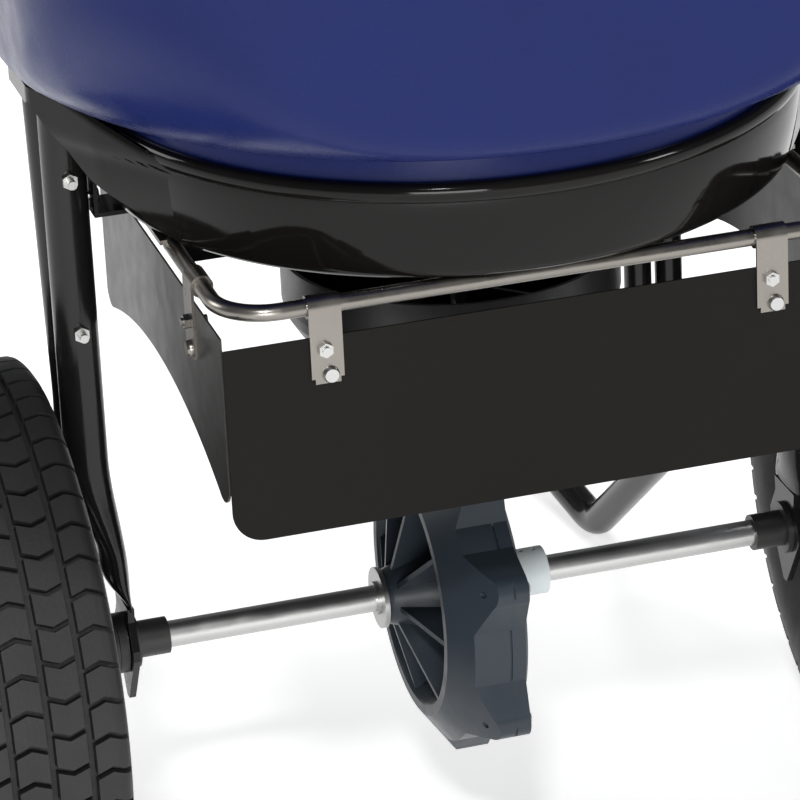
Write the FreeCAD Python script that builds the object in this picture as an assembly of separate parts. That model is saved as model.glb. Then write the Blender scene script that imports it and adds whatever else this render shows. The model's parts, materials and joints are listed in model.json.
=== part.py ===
"""Push broadcast spreader for seed and fertiliser, modelled piece by piece.

Working frame: X to the right seen from the front, -Y is the front where the material leaves,
+Y is the operator's side, +Z up. The axle is at Y = 0 and the ground at Z = 0 while the pieces
are made. At the end everything moves along Y, so that the origin is on the ground in the middle
of the whole machine. All sizes are in millimetres.
"""
import math
import os

import FreeCAD
import Part

# ---- wheels and axle ----
WHEEL_R = 178.0
WHEEL_X = 302.0
AXLE_R = 7.94
AXLE_HALF = 354.0
RUNNING = 0.05
RIM_R = 101.0
RIM_HALF = 31.0
TYRE_HALF = 60.0
TREAD_HALF = 51.0
HUB_R = 19.0
HUB_BORE_R = 13.0
HUB_X = (216.0, 350.0)
HUB_WEB_X = 318.0
VENT_COUNT = 6
VENT_R = 13.0
VENT_CENTRE_R = 62.0
DRIVE_PIN_X = -338.0
DRIVE_PIN_R = 2.5

# ---- legs, stand and handle tubes ----
LEG_X = 223.7
LEG_R = 12.7
TUBE_WALL = 1.5
PLATE_T = 2.5
LEG_TOP_Z = 526.0
LEG_ROUND_Z = 300.0
BLADE_X = 207.5
BLADE_T = 4.0
BLADE_HALF = 24.0
BLADE_TOP_Z = 204.0
BULGE_Z = 226.0
BULGE_HALF = (7.5, 21.0)
STAND_R = 11.1
STAND_TOP = (227.5, 29.0, LEG_TOP_Z)
STAND_KNEE = (223.7, 24.3, 305.0)
FOOT_ARC_RISE = 1.84
STAND_FOOT = (212.0, 384.0, STAND_R - FOOT_ARC_RISE)
STAND_HEEL = (201.0, 474.0, 24.0)
HANDLE_JOINT = (196.0, 650.0, 590.0)
HANDLE_BEND = (196.0, 682.0, 690.0)
HANDLE_TOP = (196.0, 905.0, 985.0)
JOINT_GAP = 1.6
KNEE_BEND = 70.0
FOOT_BEND = 34.0
HEEL_BEND = 70.0
HANDLE_BEND_R = 160.0
HANDLE_CORNER_R = 62.0
GRIP_R = 16.5
GRIP_RING = 1.5
GRIP_SPAN = (26.0, 122.0)
LEG_BOLT_Z = (476.0, 383.0)
BRACE_Z = 452.0
LEVER_TUBE_R = 9.5
LEVER_TUBE_DROP = 26.0
MOUNT_AT = (211.0, 20.0)

# ---- hopper and base pan ----
RING_R = 199.5
RING_Z = (486.0, 529.0)
RING_BEAD_Z = 533.0
HOPPER_WALL = 3.2
BOWL_Z = 533.0
BOWL_START_R = 202.0
BOWL_ARC = 95.0
BODY_LOW = (256.0, 240.0, 150.0, 520.0)
BODY_TOP = (285.0, 262.0, 125.0, 800.0)
LIP_OUT = 9.0
LIP_H = 12.0
PAN_RIM_R = 205.5
PAN_RIM_Z = 514.0
PAN_FOOT_R = 199.0
PAN_FOOT_Z = 459.0
PAN_FLOOR_Z = 452.0
PAN_WALL = 2.6
WING_ANGLE = -30.0
WING_REACH = 207.5
WING_TOP_Z = 531.0
BRIDGE_TOP = PAN_FLOOR_Z - 6.0
BRIDGE_BOLT_Z = PAN_FLOOR_Z + 8.0
FOOT_HALF = 27.0
FOOT_BOLT_X = 22.5
PORT_CENTRE_R = 46.0
PORT_R = 11.0
PORT_ANGLES = (-128.0, -90.0, -52.0)
WALL_SCREW_Z = 496.0
WALL_SCREW_ANGLES = (30.0, 66.0, 114.0, 150.0)

# ---- deflector ----
ROD_R = 4.75
ROD_Y = -184.5
ROD_Z = 451.4
ROD_SIDE_X = 180.3
ROD_BEND = 30.0
ROD_END_Y = -34.0
TAB_X = 127.2
TAB_HALF = 9.1
TAB_T = 1.6
TAB_DROP_Z = 408.5
PANEL_T = 1.2
PANEL_TOP_Z = 435.1
PANEL_LOW_Z = 321.6
PANEL_HALF = 184.2
PANEL_CORNER = 18.0
SIDE_TAB_Y = -126.0
SIDE_TOP_Z = 442.0
SIDE_Y = (-187.6, 88.0)

# ---- gearbox and spinner ----
AXLE_Z = WHEEL_R
BOX_R = 92.0
LOBE_R = 110.0
LOBE_ROUND = 11.0
LOBE_SPREAD = 17.0
LOBE_ANGLES = (-90.0, -30.0, 22.0, 62.0, 118.0, 158.0, 210.0)
BOX_LEFT_X = -22.0
BOX_RIGHT_X = 12.0
BOX_SHELL = 2.6
SEAM = 0.7
SEAM_DEEP = 1.0
HUB_LEFT_X = -51.0
HUB_RIGHT_X = 29.5
CROWN_TEETH = 78
PINION_TEETH = 12
MODULE = 2.0
PINION_PITCH_R = PINION_TEETH * MODULE / 2.0
TOOTH_TOP = 1.6
TOOTH_ROOT = 2.1
CROWN_FACE = (70.0, 85.0)
SHAFT_R = 6.0
SPINNER_R = 99.0
SPINNER_Z = (352.0, 400.0)

# ---- gate linkage ----
CRANK_Y = 262.0
CRANK_Z = 488.0
GATE_ARM = 38.0
LINK_ARM = 44.0
LEVER_PIVOT = (800.0, 862.0)
LEVER_UP = 150.0
HALF_STROKE = 20.0
GATE_Z = (449.2, 451.2)
GATE_TRAVEL = 2.0 * GATE_ARM * math.sin(math.radians(HALF_STROKE))

# ---- place of the axle once the origin is in the middle of the whole machine ----
FRONT_Y = -(BODY_TOP[1] + LIP_OUT)
REAR_Y = HANDLE_TOP[1] + GRIP_R + GRIP_RING
AXLE_Y = -(FRONT_Y + REAR_Y) / 2.0

X_AXIS = FreeCAD.Vector(1, 0, 0)
Y_AXIS = FreeCAD.Vector(0, 1, 0)
Z_AXIS = FreeCAD.Vector(0, 0, 1)
AXLE_CENTRE = FreeCAD.Vector(0, 0, AXLE_Z)


# ---- helpers ----
def vec(x, y, z):
    return FreeCAD.Vector(x, y, z)


def cyl(radius, start, axis, length):
    """Solid cylinder from start along axis."""
    return Part.makeCylinder(radius, length, start, axis)


def tube(outer, inner, start, axis, length):
    return cyl(outer, start, axis, length).cut(cyl(inner, start, axis, length))


def block(low, high):
    """Box between two opposite corners."""
    size = [high[i] - low[i] for i in range(3)]
    return Part.makeBox(size[0], size[1], size[2], vec(*low))


def fuse(shapes):
    first, rest = shapes[0], list(shapes[1:])
    return first.fuse(rest).removeSplitter() if rest else first


def mirrored(shape):
    """The same piece on the other side of the machine."""
    return shape.mirror(vec(0, 0, 0), X_AXIS)


def group(shapes):
    return Part.makeCompound(shapes)


def about_axle(profile, arcs=()):
    """Turn a closed (x, radius) outline about the axle; arcs maps an index to its middle point."""
    middles = dict(arcs)
    points = [vec(x, 0, AXLE_Z + r) for x, r in profile]
    edges = []
    for i, start in enumerate(points):
        end = points[(i + 1) % len(points)]
        if i in middles:
            x, r = middles[i]
            edges.append(Part.Arc(start, vec(x, 0, AXLE_Z + r), end).toShape())
        else:
            edges.append(Part.makeLine(start, end))
    return Part.Face(Part.Wire(edges)).revolve(AXLE_CENTRE, X_AXIS, 360)


def about_z(profile):
    """Turn a closed (radius, z) outline about the vertical middle line."""
    points = [vec(r, 0, z) for r, z in profile]
    return Part.Face(Part.makePolygon(points + points[:1])).revolve(vec(0, 0, 0), Z_AXIS, 360)


def bent_path(points, radii):
    """Straight runs joined by tangent arcs, one radius for each inner point."""
    points = [vec(*p) for p in points]
    edges = []
    start = points[0]
    for i, radius in enumerate(radii, 1):
        back = (points[i - 1] - points[i]).normalize()
        ahead = (points[i + 1] - points[i]).normalize()
        half = back.getAngle(ahead) / 2.0
        cut = radius / math.tan(half)
        enter = points[i] + back * cut
        leave = points[i] + ahead * cut
        middle_way = (back + ahead).normalize()
        middle = points[i] + middle_way * (radius / math.sin(half) - radius)
        edges.append(Part.makeLine(start, enter))
        edges.append(Part.Arc(enter, middle, leave).toShape())
        start = leave
    edges.append(Part.makeLine(start, points[-1]))
    return Part.Wire(edges)


def swept(points, radii, radius):
    path = bent_path(points, radii)
    way = vec(*points[1]) - vec(*points[0])
    section = Part.Wire(Part.makeCircle(radius, vec(*points[0]), way))
    return path.makePipeShell([section], True, False)


def bent_tube(points, radii, radius, wall=TUBE_WALL):
    return swept(points, radii, radius).cut(swept(points, radii, radius - wall))


def rounded(hx, hy, r, z):
    """Closed rounded rectangle centred on the vertical middle line."""
    k = r * (1.0 - math.sqrt(0.5))
    edges = []
    for sx, sy in ((1, 1), (-1, 1), (-1, -1), (1, -1)):
        first = vec(sx * hx, sy * (hy - r), z)
        second = vec(sx * (hx - r), sy * hy, z)
        if sx * sy < 0:
            first, second = second, first
        middle = vec(sx * (hx - k), sy * (hy - k), z)
        edges.append(Part.Arc(first, middle, second).toShape())
        following = {(1, 1): (-(hx - r), hy), (-1, 1): (-hx, -(hy - r)),
                     (-1, -1): (hx - r, -hy), (1, -1): (hx, hy - r)}[(sx, sy)]
        edges.append(Part.makeLine(second, vec(following[0], following[1], z)))
    return Part.Wire(edges)


def hexagon(across, start, axis, length):
    """Hexagonal nut or bolt head from start along axis."""
    shape = Part.makeCylinder(across / math.sqrt(3.0), length)
    flats = []
    for i in range(6):
        cutter = Part.makeBox(across, 2 * across, length + 2, vec(across / 2.0, -across, -1))
        cutter.rotate(vec(0, 0, 0), Z_AXIS, 60.0 * i)
        flats.append(cutter)
    shape = shape.cut(flats)
    shape.Placement = FreeCAD.Placement(start, FreeCAD.Rotation(Z_AXIS, axis))
    return shape


def bolt(radius, start, axis, length, tail=5.0, thread_end=True):
    """Hexagon bolt: the head is before start, the nut ends tail short of the tip."""
    axis = FreeCAD.Vector(axis).normalize()
    across = 3.3 * radius
    head_h = 1.3 * radius
    parts = [hexagon(across, start - axis * head_h, axis, head_h), cyl(radius, start, axis, length)]
    if thread_end:
        parts.append(hexagon(across, start + axis * (length - tail - 1.6 * radius), axis, 1.6 * radius))
    return fuse(parts)


def pan_screw(radius, start, axis, length):
    """Round-headed screw: the domed head is before start."""
    head_r = 2.1 * radius
    rise = 1.3 * radius
    flat_r = math.sqrt(head_r ** 2 - rise ** 2)
    middle = vec(math.sqrt(head_r ** 2 - (rise / 2.0) ** 2), 0, -rise / 2.0)
    corners = [vec(head_r, 0, 0), vec(radius, 0, 0), vec(radius, 0, length), vec(0, 0, length),
               vec(0, 0, -rise), vec(flat_r, 0, -rise)]
    edges = [Part.makeLine(a, b) for a, b in zip(corners, corners[1:])]
    edges.append(Part.Arc(corners[-1], middle, corners[0]).toShape())
    screw = Part.Face(Part.Wire(edges)).revolve(vec(0, 0, 0), Z_AXIS, 360)
    screw.Placement = FreeCAD.Placement(start, FreeCAD.Rotation(Z_AXIS, FreeCAD.Vector(axis)))
    return screw


# ---- wheels ----
def tyre(side):
    shoulder = TREAD_HALF + 5.5
    outline = [(-RIM_HALF, RIM_R), (-RIM_HALF, 110), (-shoulder, 171), (-TREAD_HALF, WHEEL_R - 1.5),
               (TREAD_HALF, WHEEL_R - 1.5), (shoulder, 171), (RIM_HALF, 110), (RIM_HALF, RIM_R),
               (RIM_HALF - 8, RIM_R), (RIM_HALF - 7, 112), (44, 164), (-44, 164),
               (-RIM_HALF + 7, 112), (-RIM_HALF + 8, RIM_R)]
    bulges = {1: (-TYRE_HALF, 146), 3: (0, WHEEL_R), 5: (TYRE_HALF, 146),
              9: (TYRE_HALF - 7, 142), 11: (-TYRE_HALF + 7, 142)}
    shape = about_axle(outline, bulges)
    shape.translate(vec(side * WHEEL_X, 0, 0))
    return shape


def rim(side):
    """Pressed rim with a dished web, vent holes and a long hub tube, made for the right wheel."""
    lip = RIM_R - 0.3
    barrel = about_axle([(-34, 108), (-34, 97), (34, 97), (34, 108), (31.3, 108), (31.3, lip),
                         (-31.3, lip), (-31.3, 108)])
    barrel.translate(vec(WHEEL_X, 0, 0))
    web_in = HUB_WEB_X
    web = about_axle([(web_in, HUB_R - 2), (web_in + 3, HUB_R - 2), (web_in + 3, 40),
                      (WHEEL_X + 3, 82), (WHEEL_X + 3, 98), (WHEEL_X, 98), (WHEEL_X, 81),
                      (web_in, 39)])
    holes = []
    for i in range(VENT_COUNT):
        hole = cyl(VENT_R, vec(WHEEL_X - 20, 0, AXLE_Z + VENT_CENTRE_R), X_AXIS, 60)
        hole.rotate(AXLE_CENTRE, X_AXIS, 360.0 * i / VENT_COUNT)
        holes.append(hole)
    hub = cyl(HUB_R, vec(HUB_X[0] + 3.5, 0, AXLE_Z), X_AXIS, HUB_X[1] - HUB_X[0] - 7)
    shape = fuse([barrel, web.cut(holes), hub])
    shape = shape.cut(cyl(HUB_BORE_R, vec(HUB_X[0], 0, AXLE_Z), X_AXIS, HUB_X[1] - HUB_X[0]))
    if side < 0:
        shape = mirrored(shape).cut(drive_pin_hole())
    return shape


def drive_pin_hole():
    return cyl(DRIVE_PIN_R, vec(DRIVE_PIN_X, 0, AXLE_Z - 40), Z_AXIS, 80)


def hub_bushes(side):
    """Two flanged plastic bushes pressed into the ends of the hub tube."""
    bushes = []
    for start, way in ((HUB_X[0], 1), (HUB_X[1], -1)):
        axis = X_AXIS * way
        flange = cyl(HUB_R, vec(start, 0, AXLE_Z), axis, 3.4)
        sleeve = cyl(HUB_BORE_R - 0.02, vec(start, 0, AXLE_Z), axis, 42)
        bore = cyl(AXLE_R + RUNNING, vec(start, 0, AXLE_Z), axis, 42)
        bushes.append(fuse([flange, sleeve]).cut(bore))
    if side < 0:
        bushes = [mirrored(bush).cut(drive_pin_hole()) for bush in bushes]
    return group(bushes)


def valve_stem(side):
    stem = fuse([cyl(4.0, vec(WHEEL_X + 5, 0, AXLE_Z + 90), X_AXIS, 16),
                 cyl(3.0, vec(WHEEL_X + 21, 0, AXLE_Z + 90), X_AXIS, 10)])
    return stem if side > 0 else mirrored(stem)


def axle():
    bar = cyl(AXLE_R, vec(-AXLE_HALF, 0, AXLE_Z), X_AXIS, 2 * AXLE_HALF)
    return bar.cut([drive_pin_hole(), crown_pin(2.0)])


def drive_pin():
    """Clevis pin through hub, bush and axle, with a ring head."""
    shank = cyl(DRIVE_PIN_R - 0.1, vec(DRIVE_PIN_X, 0, AXLE_Z - 24), Z_AXIS, 46)
    head = cyl(5.0, vec(DRIVE_PIN_X, 0, AXLE_Z + 22), Z_AXIS, 2.5)
    clip = Part.makeTorus(7.0, 0.9, vec(DRIVE_PIN_X - 4.5, 0, AXLE_Z - 28), Y_AXIS)
    return fuse([shank, head, clip])


def axle_caps():
    """Push-on caps that close both axle ends."""
    cap = fuse([cyl(13.0, vec(HUB_X[1] + 0.6, 0, AXLE_Z), X_AXIS, 5.0),
                Part.makeCone(13.0, 8.0, 3.0, vec(HUB_X[1] + 5.6, 0, AXLE_Z), X_AXIS)])
    cap = cap.cut(cyl(AXLE_R, vec(HUB_X[1], 0, AXLE_Z), X_AXIS, AXLE_HALF - HUB_X[1]))
    return group([cap, mirrored(cap)])


def wheel_spacers():
    """Zinc washers between the hub bushes and the legs; they turn with the axle."""
    inner = BLADE_X + BLADE_T / 2.0 + 0.6
    ring = tube(18.0, AXLE_R + 0.02, vec(inner, 0, AXLE_Z), X_AXIS, HUB_X[0] - inner - 0.5)
    return group([ring, mirrored(ring)])


# ---- frame ----
def ellipse_wire(centre, half_x, half_y):
    """Horizontal ellipse, wider along Y than along X or the other way round."""
    if half_y >= half_x:
        curve = Part.Ellipse(centre + vec(0, half_y, 0), centre + vec(half_x, 0, 0), centre)
    else:
        curve = Part.Ellipse(centre + vec(half_x, 0, 0), centre + vec(0, half_y, 0), centre)
    return Part.Wire(curve.toShape())


def leg(side):
    """Round tube whose lower end is pressed flat into a blade that holds the axle bush."""
    upper = tube(LEG_R, LEG_R - TUBE_WALL, vec(LEG_X, 0, LEG_ROUND_Z), Z_AXIS, LEG_TOP_Z - LEG_ROUND_Z)
    x0 = BLADE_X - BLADE_T / 2.0
    stations = [(LEG_ROUND_Z, LEG_X, LEG_R + 0.001, LEG_R + 0.002)]
    steps = 6
    for i in range(1, steps + 1):
        part = i / steps
        ease = part * part * (3.0 - 2.0 * part)
        stations.append((LEG_ROUND_Z + (BULGE_Z - LEG_ROUND_Z) * part,
                         LEG_X + (BLADE_X + 5.0 - LEG_X) * ease,
                         LEG_R + (BULGE_HALF[0] - LEG_R) * ease,
                         LEG_R + (BULGE_HALF[1] - LEG_R) * ease))
    stations.append((BULGE_Z - 9.0, BLADE_X + 3.2, 5.2, BULGE_HALF[1] + 0.5))
    stations.append((BLADE_TOP_Z, BLADE_X, BLADE_T / 2.0, 16.0))
    pressed = Part.makeLoft([ellipse_wire(vec(x, 0, z), half_x, half_y)
                             for z, x, half_x, half_y in stations], True)
    outline = [(-16.0, BLADE_TOP_Z + 2), (-15.0, AXLE_Z + 19), (-BLADE_HALF, AXLE_Z + 4),
               (-BLADE_HALF + 1, AXLE_Z - 3), (-2.5, AXLE_Z - 36), (2.5, AXLE_Z - 36),
               (BLADE_HALF - 1, AXLE_Z - 3), (BLADE_HALF, AXLE_Z + 4), (15.0, AXLE_Z + 19),
               (16.0, BLADE_TOP_Z + 2)]
    corners = [vec(x0, y, z) for y, z in outline + outline[:1]]
    flat = Part.Face(Part.makePolygon(corners)).extrude(vec(BLADE_T, 0, 0))
    shape = fuse([upper, pressed, flat])
    cuts = [cyl(9.6, vec(x0 - 5, 0, AXLE_Z), X_AXIS, 20)]
    cuts += [cyl(2.7, vec(LEG_X, -30, z), Y_AXIS, 60) for z in LEG_BOLT_Z]
    cuts.append(cyl(2.6, vec(LEG_X - LEG_R - 5, 0, BRIDGE_BOLT_Z), X_AXIS, 10))
    shape = shape.cut(cuts)
    return shape if side > 0 else mirrored(shape)


def axle_bush(side):
    """Flanged nylon bush held in the leg's blade; the axle runs in it."""
    x0 = BLADE_X - BLADE_T / 2.0
    body = fuse([cyl(11.0, vec(183.6, 0, AXLE_Z), X_AXIS, x0 - 183.6),
                 cyl(16.0, vec(x0 - 3.0, 0, AXLE_Z), X_AXIS, 3.0),
                 cyl(9.5, vec(183.6, 0, AXLE_Z), X_AXIS, x0 + BLADE_T - 183.6)])
    body = body.cut(cyl(AXLE_R + RUNNING, vec(180, 0, AXLE_Z), X_AXIS, 40))
    return body if side > 0 else mirrored(body)


def stand_points():
    end = vec(*HANDLE_JOINT) - heel_way() * JOINT_GAP
    return [STAND_TOP, STAND_KNEE, STAND_FOOT, STAND_HEEL, tuple(end)]


def stand(side):
    """Side tube: down behind the leg, back to the foot on the ground and up to the handle."""
    shape = bent_tube(stand_points(), [KNEE_BEND, FOOT_BEND, HEEL_BEND], STAND_R)
    cuts = [cyl(2.7, vec(LEG_X, -30, z), Y_AXIS, 80) for z in LEG_BOLT_Z]
    cuts += [joint_bolt_hole(-22.0), cyl(3.3, brace_end() - X_AXIS * 30, X_AXIS, 60),
             block((200, 0, LEG_TOP_Z), (260, 60, LEG_TOP_Z + 10))]
    shape = shape.cut(cuts)
    return shape if side > 0 else mirrored(shape)


def heel_way():
    """Direction of the rear tube, from the heel to the handle joint."""
    return (vec(*HANDLE_JOINT) - vec(*STAND_HEEL)).normalize()


def upper_way():
    return (vec(*HANDLE_BEND) - vec(*HANDLE_JOINT)).normalize()


def joint_bolt_hole(along):
    way = heel_way() if along < 0 else upper_way()
    centre = vec(*HANDLE_JOINT) + way * along
    return cyl(3.3, centre - X_AXIS * 20, X_AXIS, 40)


def brace_end():
    """Where the rear brace is bolted to the rear tube."""
    heel = vec(*STAND_HEEL)
    way = heel_way()
    return heel + way * ((BRACE_Z - heel.z) / way.z)


def handle_upper():
    """Bow-shaped upper handle with its crossbar at the top."""
    start = vec(*HANDLE_JOINT) + upper_way() * JOINT_GAP
    right = [tuple(start), HANDLE_BEND, HANDLE_TOP]
    left = [(-x, y, z) for x, y, z in reversed(right)]
    shape = bent_tube(right + left, [HANDLE_BEND_R, HANDLE_CORNER_R, HANDLE_CORNER_R, HANDLE_BEND_R],
                      STAND_R)
    holes = [joint_bolt_hole(22.0), mirrored(joint_bolt_hole(22.0))]
    return shape.cut(holes + [cyl(2.6, vec(-220, *lever_tube_place()), X_AXIS, 440)])


def handle_sleeves():
    """Inner sleeves that join the lower and upper handle tubes."""
    sleeves = []
    centre = vec(*HANDLE_JOINT)
    for way, sign in ((heel_way(), -1), (upper_way(), 1)):
        sleeves.append(tube(9.5, 7.9, centre, way * sign, 44))
    ball = Part.makeSphere(9.5, centre).cut(Part.makeSphere(7.9, centre))
    cuts = [joint_bolt_hole(-22.0), joint_bolt_hole(22.0)]
    sleeve = fuse(sleeves + [ball])
    core = [cyl(7.9, centre, heel_way() * -1, 44), cyl(7.9, centre, upper_way(), 44)]
    sleeve = sleeve.cut(core + cuts)
    return group([sleeve, mirrored(sleeve)])


def handle_bolts():
    bolts = []
    for along in (-22.0, 22.0):
        way = heel_way() if along < 0 else upper_way()
        centre = vec(*HANDLE_JOINT) + way * along
        item = bolt(3.1, centre + X_AXIS * (STAND_R + 0.2), X_AXIS * -1, 32, tail=3.0)
        bolts += [item, mirrored(item)]
    return group(bolts)


def grip(side):
    """Foam grip on one half of the crossbar, with soft rings."""
    x0, x1 = GRIP_SPAN
    y, z = HANDLE_TOP[1], HANDLE_TOP[2]
    rings = [cyl(GRIP_R, vec(x0, y, z), X_AXIS, x1 - x0)]
    rings += [cyl(GRIP_R + GRIP_RING, vec(x, y, z), X_AXIS, 6) for x in (x0, x1 - 6)]
    shape = fuse(rings).cut(cyl(STAND_R + 0.05, vec(x0 - 2, y, z), X_AXIS, x1 - x0 + 4))
    return shape if side > 0 else mirrored(shape)


def leg_bolts():
    """Bolts that clamp each leg to its stand tube; nuts show at the front."""
    bolts = []
    for z in LEG_BOLT_Z:
        tip_y = -LEG_R - 10.0
        back_y = 24.3 + STAND_R + 2.2 + (z - LEG_BOLT_Z[1]) * 0.045
        item = bolt(2.5, vec(LEG_X, back_y, z), Y_AXIS * -1, back_y - tip_y, tail=5.9)
        bolts += [item, mirrored(item)]
    return group(bolts)


def mount_plate(side):
    """Steel plate on top of both tubes that carries the side of the hopper."""
    corners = [vec(x, y, LEG_TOP_Z) for x, y in
               ((205, -16), (229.2, -16), (238.1, -0.5), (238.1, 44), (205, 44), (205, -16))]
    plate = Part.Face(Part.makePolygon(corners)).extrude(vec(0, 0, PLATE_T))
    shape = plate.cut(mount_hole())
    return shape if side > 0 else mirrored(shape)


def mount_hole():
    return cyl(2.4, vec(MOUNT_AT[0], MOUNT_AT[1], LEG_TOP_Z - 5), Z_AXIS, 30)


def mount_screws():
    screw = pan_screw(2.3, vec(MOUNT_AT[0], MOUNT_AT[1], LEG_TOP_Z), Z_AXIS, 14.0)
    return group([screw, mirrored(screw)])


def mount_pads():
    """Rubber pads between the mounting plates and the hopper."""
    base = LEG_TOP_Z + PLATE_T
    pad = tube(7.5, 2.4, vec(MOUNT_AT[0], MOUNT_AT[1], base), Z_AXIS, 4.45)
    return group([pad, mirrored(pad)])


def cross_plate():
    """Pressed steel bridge under the pan; its stepped ends are bolted to the legs."""
    top = BRIDGE_TOP
    t = PLATE_T
    step_x = 171.0
    arm_z = top + 5.5
    inner = LEG_X - LEG_R - 0.3
    parts = [block((-step_x - t, -52, top - t), (step_x + t, 52, top)),
             block((-22, 49, top - t), (22, CRANK_Y - 12, top)),
             block((-FOOT_HALF, CRANK_Y - 13, top - t), (FOOT_HALF, CRANK_Y + 14, top))]
    parts += [block((-step_x, y, top - 14), (step_x, y + t, top)) for y in (-52, 52 - t)]
    right = [block((step_x, -14, top - t), (step_x + t, 14, arm_z + t)),
             block((step_x, -14, arm_z), (inner, 14, arm_z + t)),
             block((inner - t, -14, arm_z), (inner, 14, top + 26))]
    parts += right + [mirrored(part) for part in right]
    window = block((-70, -60, top - 20), (70, 30, top + 5))
    bolt_hole = cyl(2.6, vec(-inner - 3, 0, top + 14), X_AXIS, 2 * inner + 6)
    return fuse(parts).cut([window, bolt_hole] + foot_holes())


def cross_bolts():
    """Bolts that hold the bridge's turned-up ends to the legs."""
    z = BRIDGE_BOLT_Z
    inner = LEG_X - LEG_R - 2.8
    item = cyl(2.5, vec(inner, 0, z), X_AXIS, 5.5)
    item = fuse([item, hexagon(8.0, vec(inner - 3.2, 0, z), X_AXIS, 3.2)])
    return group([item, mirrored(item)])


def rear_posts():
    """Two spacer posts under the right side of the pan, with a tie bar at their feet."""
    y = 102.0
    low, top = 300.0, PAN_FLOOR_Z + 1.6
    parts = []
    for x in (150.0, 170.0):
        parts.append(cyl(8.5, vec(x, y, low), Z_AXIS, top - low))
        parts.append(hexagon(9.0, vec(x, y, low - 7.0), Z_AXIS, 3.2))
    parts.append(block((138.0, y - 10, low - 4.0), (182.0, y + 10, low)))
    return fuse(parts)


def rear_brace():
    """Bowed flat bar from one rear tube to the other, round the back of the hopper."""
    end = brace_end()
    inner = end.x - STAND_R - 0.3
    low = BRIDGE_TOP - 6.0
    top = BRIDGE_TOP - PLATE_T - 0.1
    bar = block((-inner, end.y - 10, low), (inner, end.y + 10, top))
    ends = [block((inner - 3, end.y - 10, low), (inner, end.y + 10, BRACE_Z + 12))]
    ends.append(mirrored(ends[0]))
    spine = block((-12, CRANK_Y + 10, low), (12, end.y, top))
    lap = block((-FOOT_HALF, CRANK_Y - 12, low), (FOOT_HALF, CRANK_Y + 12, top))
    hole = cyl(3.3, vec(-end.x - 5, end.y, BRACE_Z), X_AXIS, 2 * end.x + 10)
    return fuse([bar, spine, lap] + ends).cut([hole] + foot_holes())


def foot_holes():
    """Holes through crank bracket, bridge tail and brace."""
    return [cyl(2.1, vec(x, CRANK_Y, BRIDGE_TOP - 12), Z_AXIS, 20) for x in (-FOOT_BOLT_X, FOOT_BOLT_X)]


def foot_bolts():
    """Bolts that clamp the crank bracket, the bridge's tail and the brace together."""
    top = BRIDGE_TOP + 2.5
    bolts = [bolt(2.0, vec(x, CRANK_Y, top), Z_AXIS * -1, 14.0, tail=1.8)
             for x in (-FOOT_BOLT_X, FOOT_BOLT_X)]
    return group(bolts)


def brace_bolts():
    end = brace_end()
    item = bolt(3.1, end + X_AXIS * (STAND_R + 0.2), X_AXIS * -1, 33, tail=2.0)
    return group([item, mirrored(item)])


# ---- hopper and pan ----
def bowl(shrink, lift):
    """Solid above the bowl-shaped underside of the hopper."""
    start = BOWL_START_R - shrink
    base = BOWL_Z + lift
    reach = BOWL_ARC * 0.93
    top = base + BOWL_ARC - math.sqrt(BOWL_ARC ** 2 - reach ** 2)
    half = BOWL_ARC * 0.6
    middle = vec(start + half, 0, base + BOWL_ARC - math.sqrt(BOWL_ARC ** 2 - half ** 2))
    edges = [Part.makeLine(vec(0, 0, base), vec(start, 0, base)),
             Part.Arc(vec(start, 0, base), middle, vec(start + reach, 0, top)).toShape()]
    corners = [vec(start + reach, 0, top), vec(420, 0, top + 250), vec(420, 0, 900), vec(0, 0, 900),
               vec(0, 0, base)]
    edges += [Part.makeLine(a, b) for a, b in zip(corners, corners[1:])]
    return Part.Face(Part.Wire(edges)).revolve(vec(0, 0, 0), Z_AXIS, 360)


def body_solid(shrink, lift, top_z):
    """Flared rounded box cut to the bowl underneath."""
    wires = []
    for hx, hy, r, z in (BODY_LOW, BODY_TOP):
        wires.append(rounded(hx - shrink, hy - shrink, r - shrink, z))
    flare = Part.makeLoft(wires, True, True)
    limit = block((-400, -400, 400), (400, 400, top_z))
    return flare.common(bowl(shrink, lift)).common(limit)


def hopper():
    """Moulded shell: ring that drops into the pan, bowl, flared body and rolled lip."""
    ring = cyl(RING_R, vec(0, 0, RING_Z[0]), Z_AXIS, RING_Z[1] - RING_Z[0])
    neck = cyl(RING_R - 3.5, vec(0, 0, RING_Z[1] - 1), Z_AXIS, BOWL_Z - RING_Z[1] + 6)
    bead = cyl(RING_R + 1.5, vec(0, 0, RING_BEAD_Z - 2.2), Z_AXIS, 2.6)
    hx, hy, r, top_z = BODY_TOP
    low = Part.Face(rounded(hx + LIP_OUT, hy + LIP_OUT, r + LIP_OUT, top_z - LIP_H))
    lip = low.extrude(vec(0, 0, LIP_H))
    outer = fuse([ring, neck, bead, body_solid(0, 0, top_z), lip])
    inside = body_solid(HOPPER_WALL, HOPPER_WALL, top_z - LIP_H / 2)
    mouth = Part.Face(rounded(hx - HOPPER_WALL, hy - HOPPER_WALL, r - HOPPER_WALL, top_z - LIP_H))
    throat = cyl(RING_R - 3.5 - HOPPER_WALL, vec(0, 0, RING_Z[0] - 1), Z_AXIS, 70)
    holes = wall_holes() + [mount_hole(), mirrored(mount_hole())]
    return outer.cut([inside, mouth.extrude(vec(0, 0, LIP_H + 2)), throat] + holes)


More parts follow.
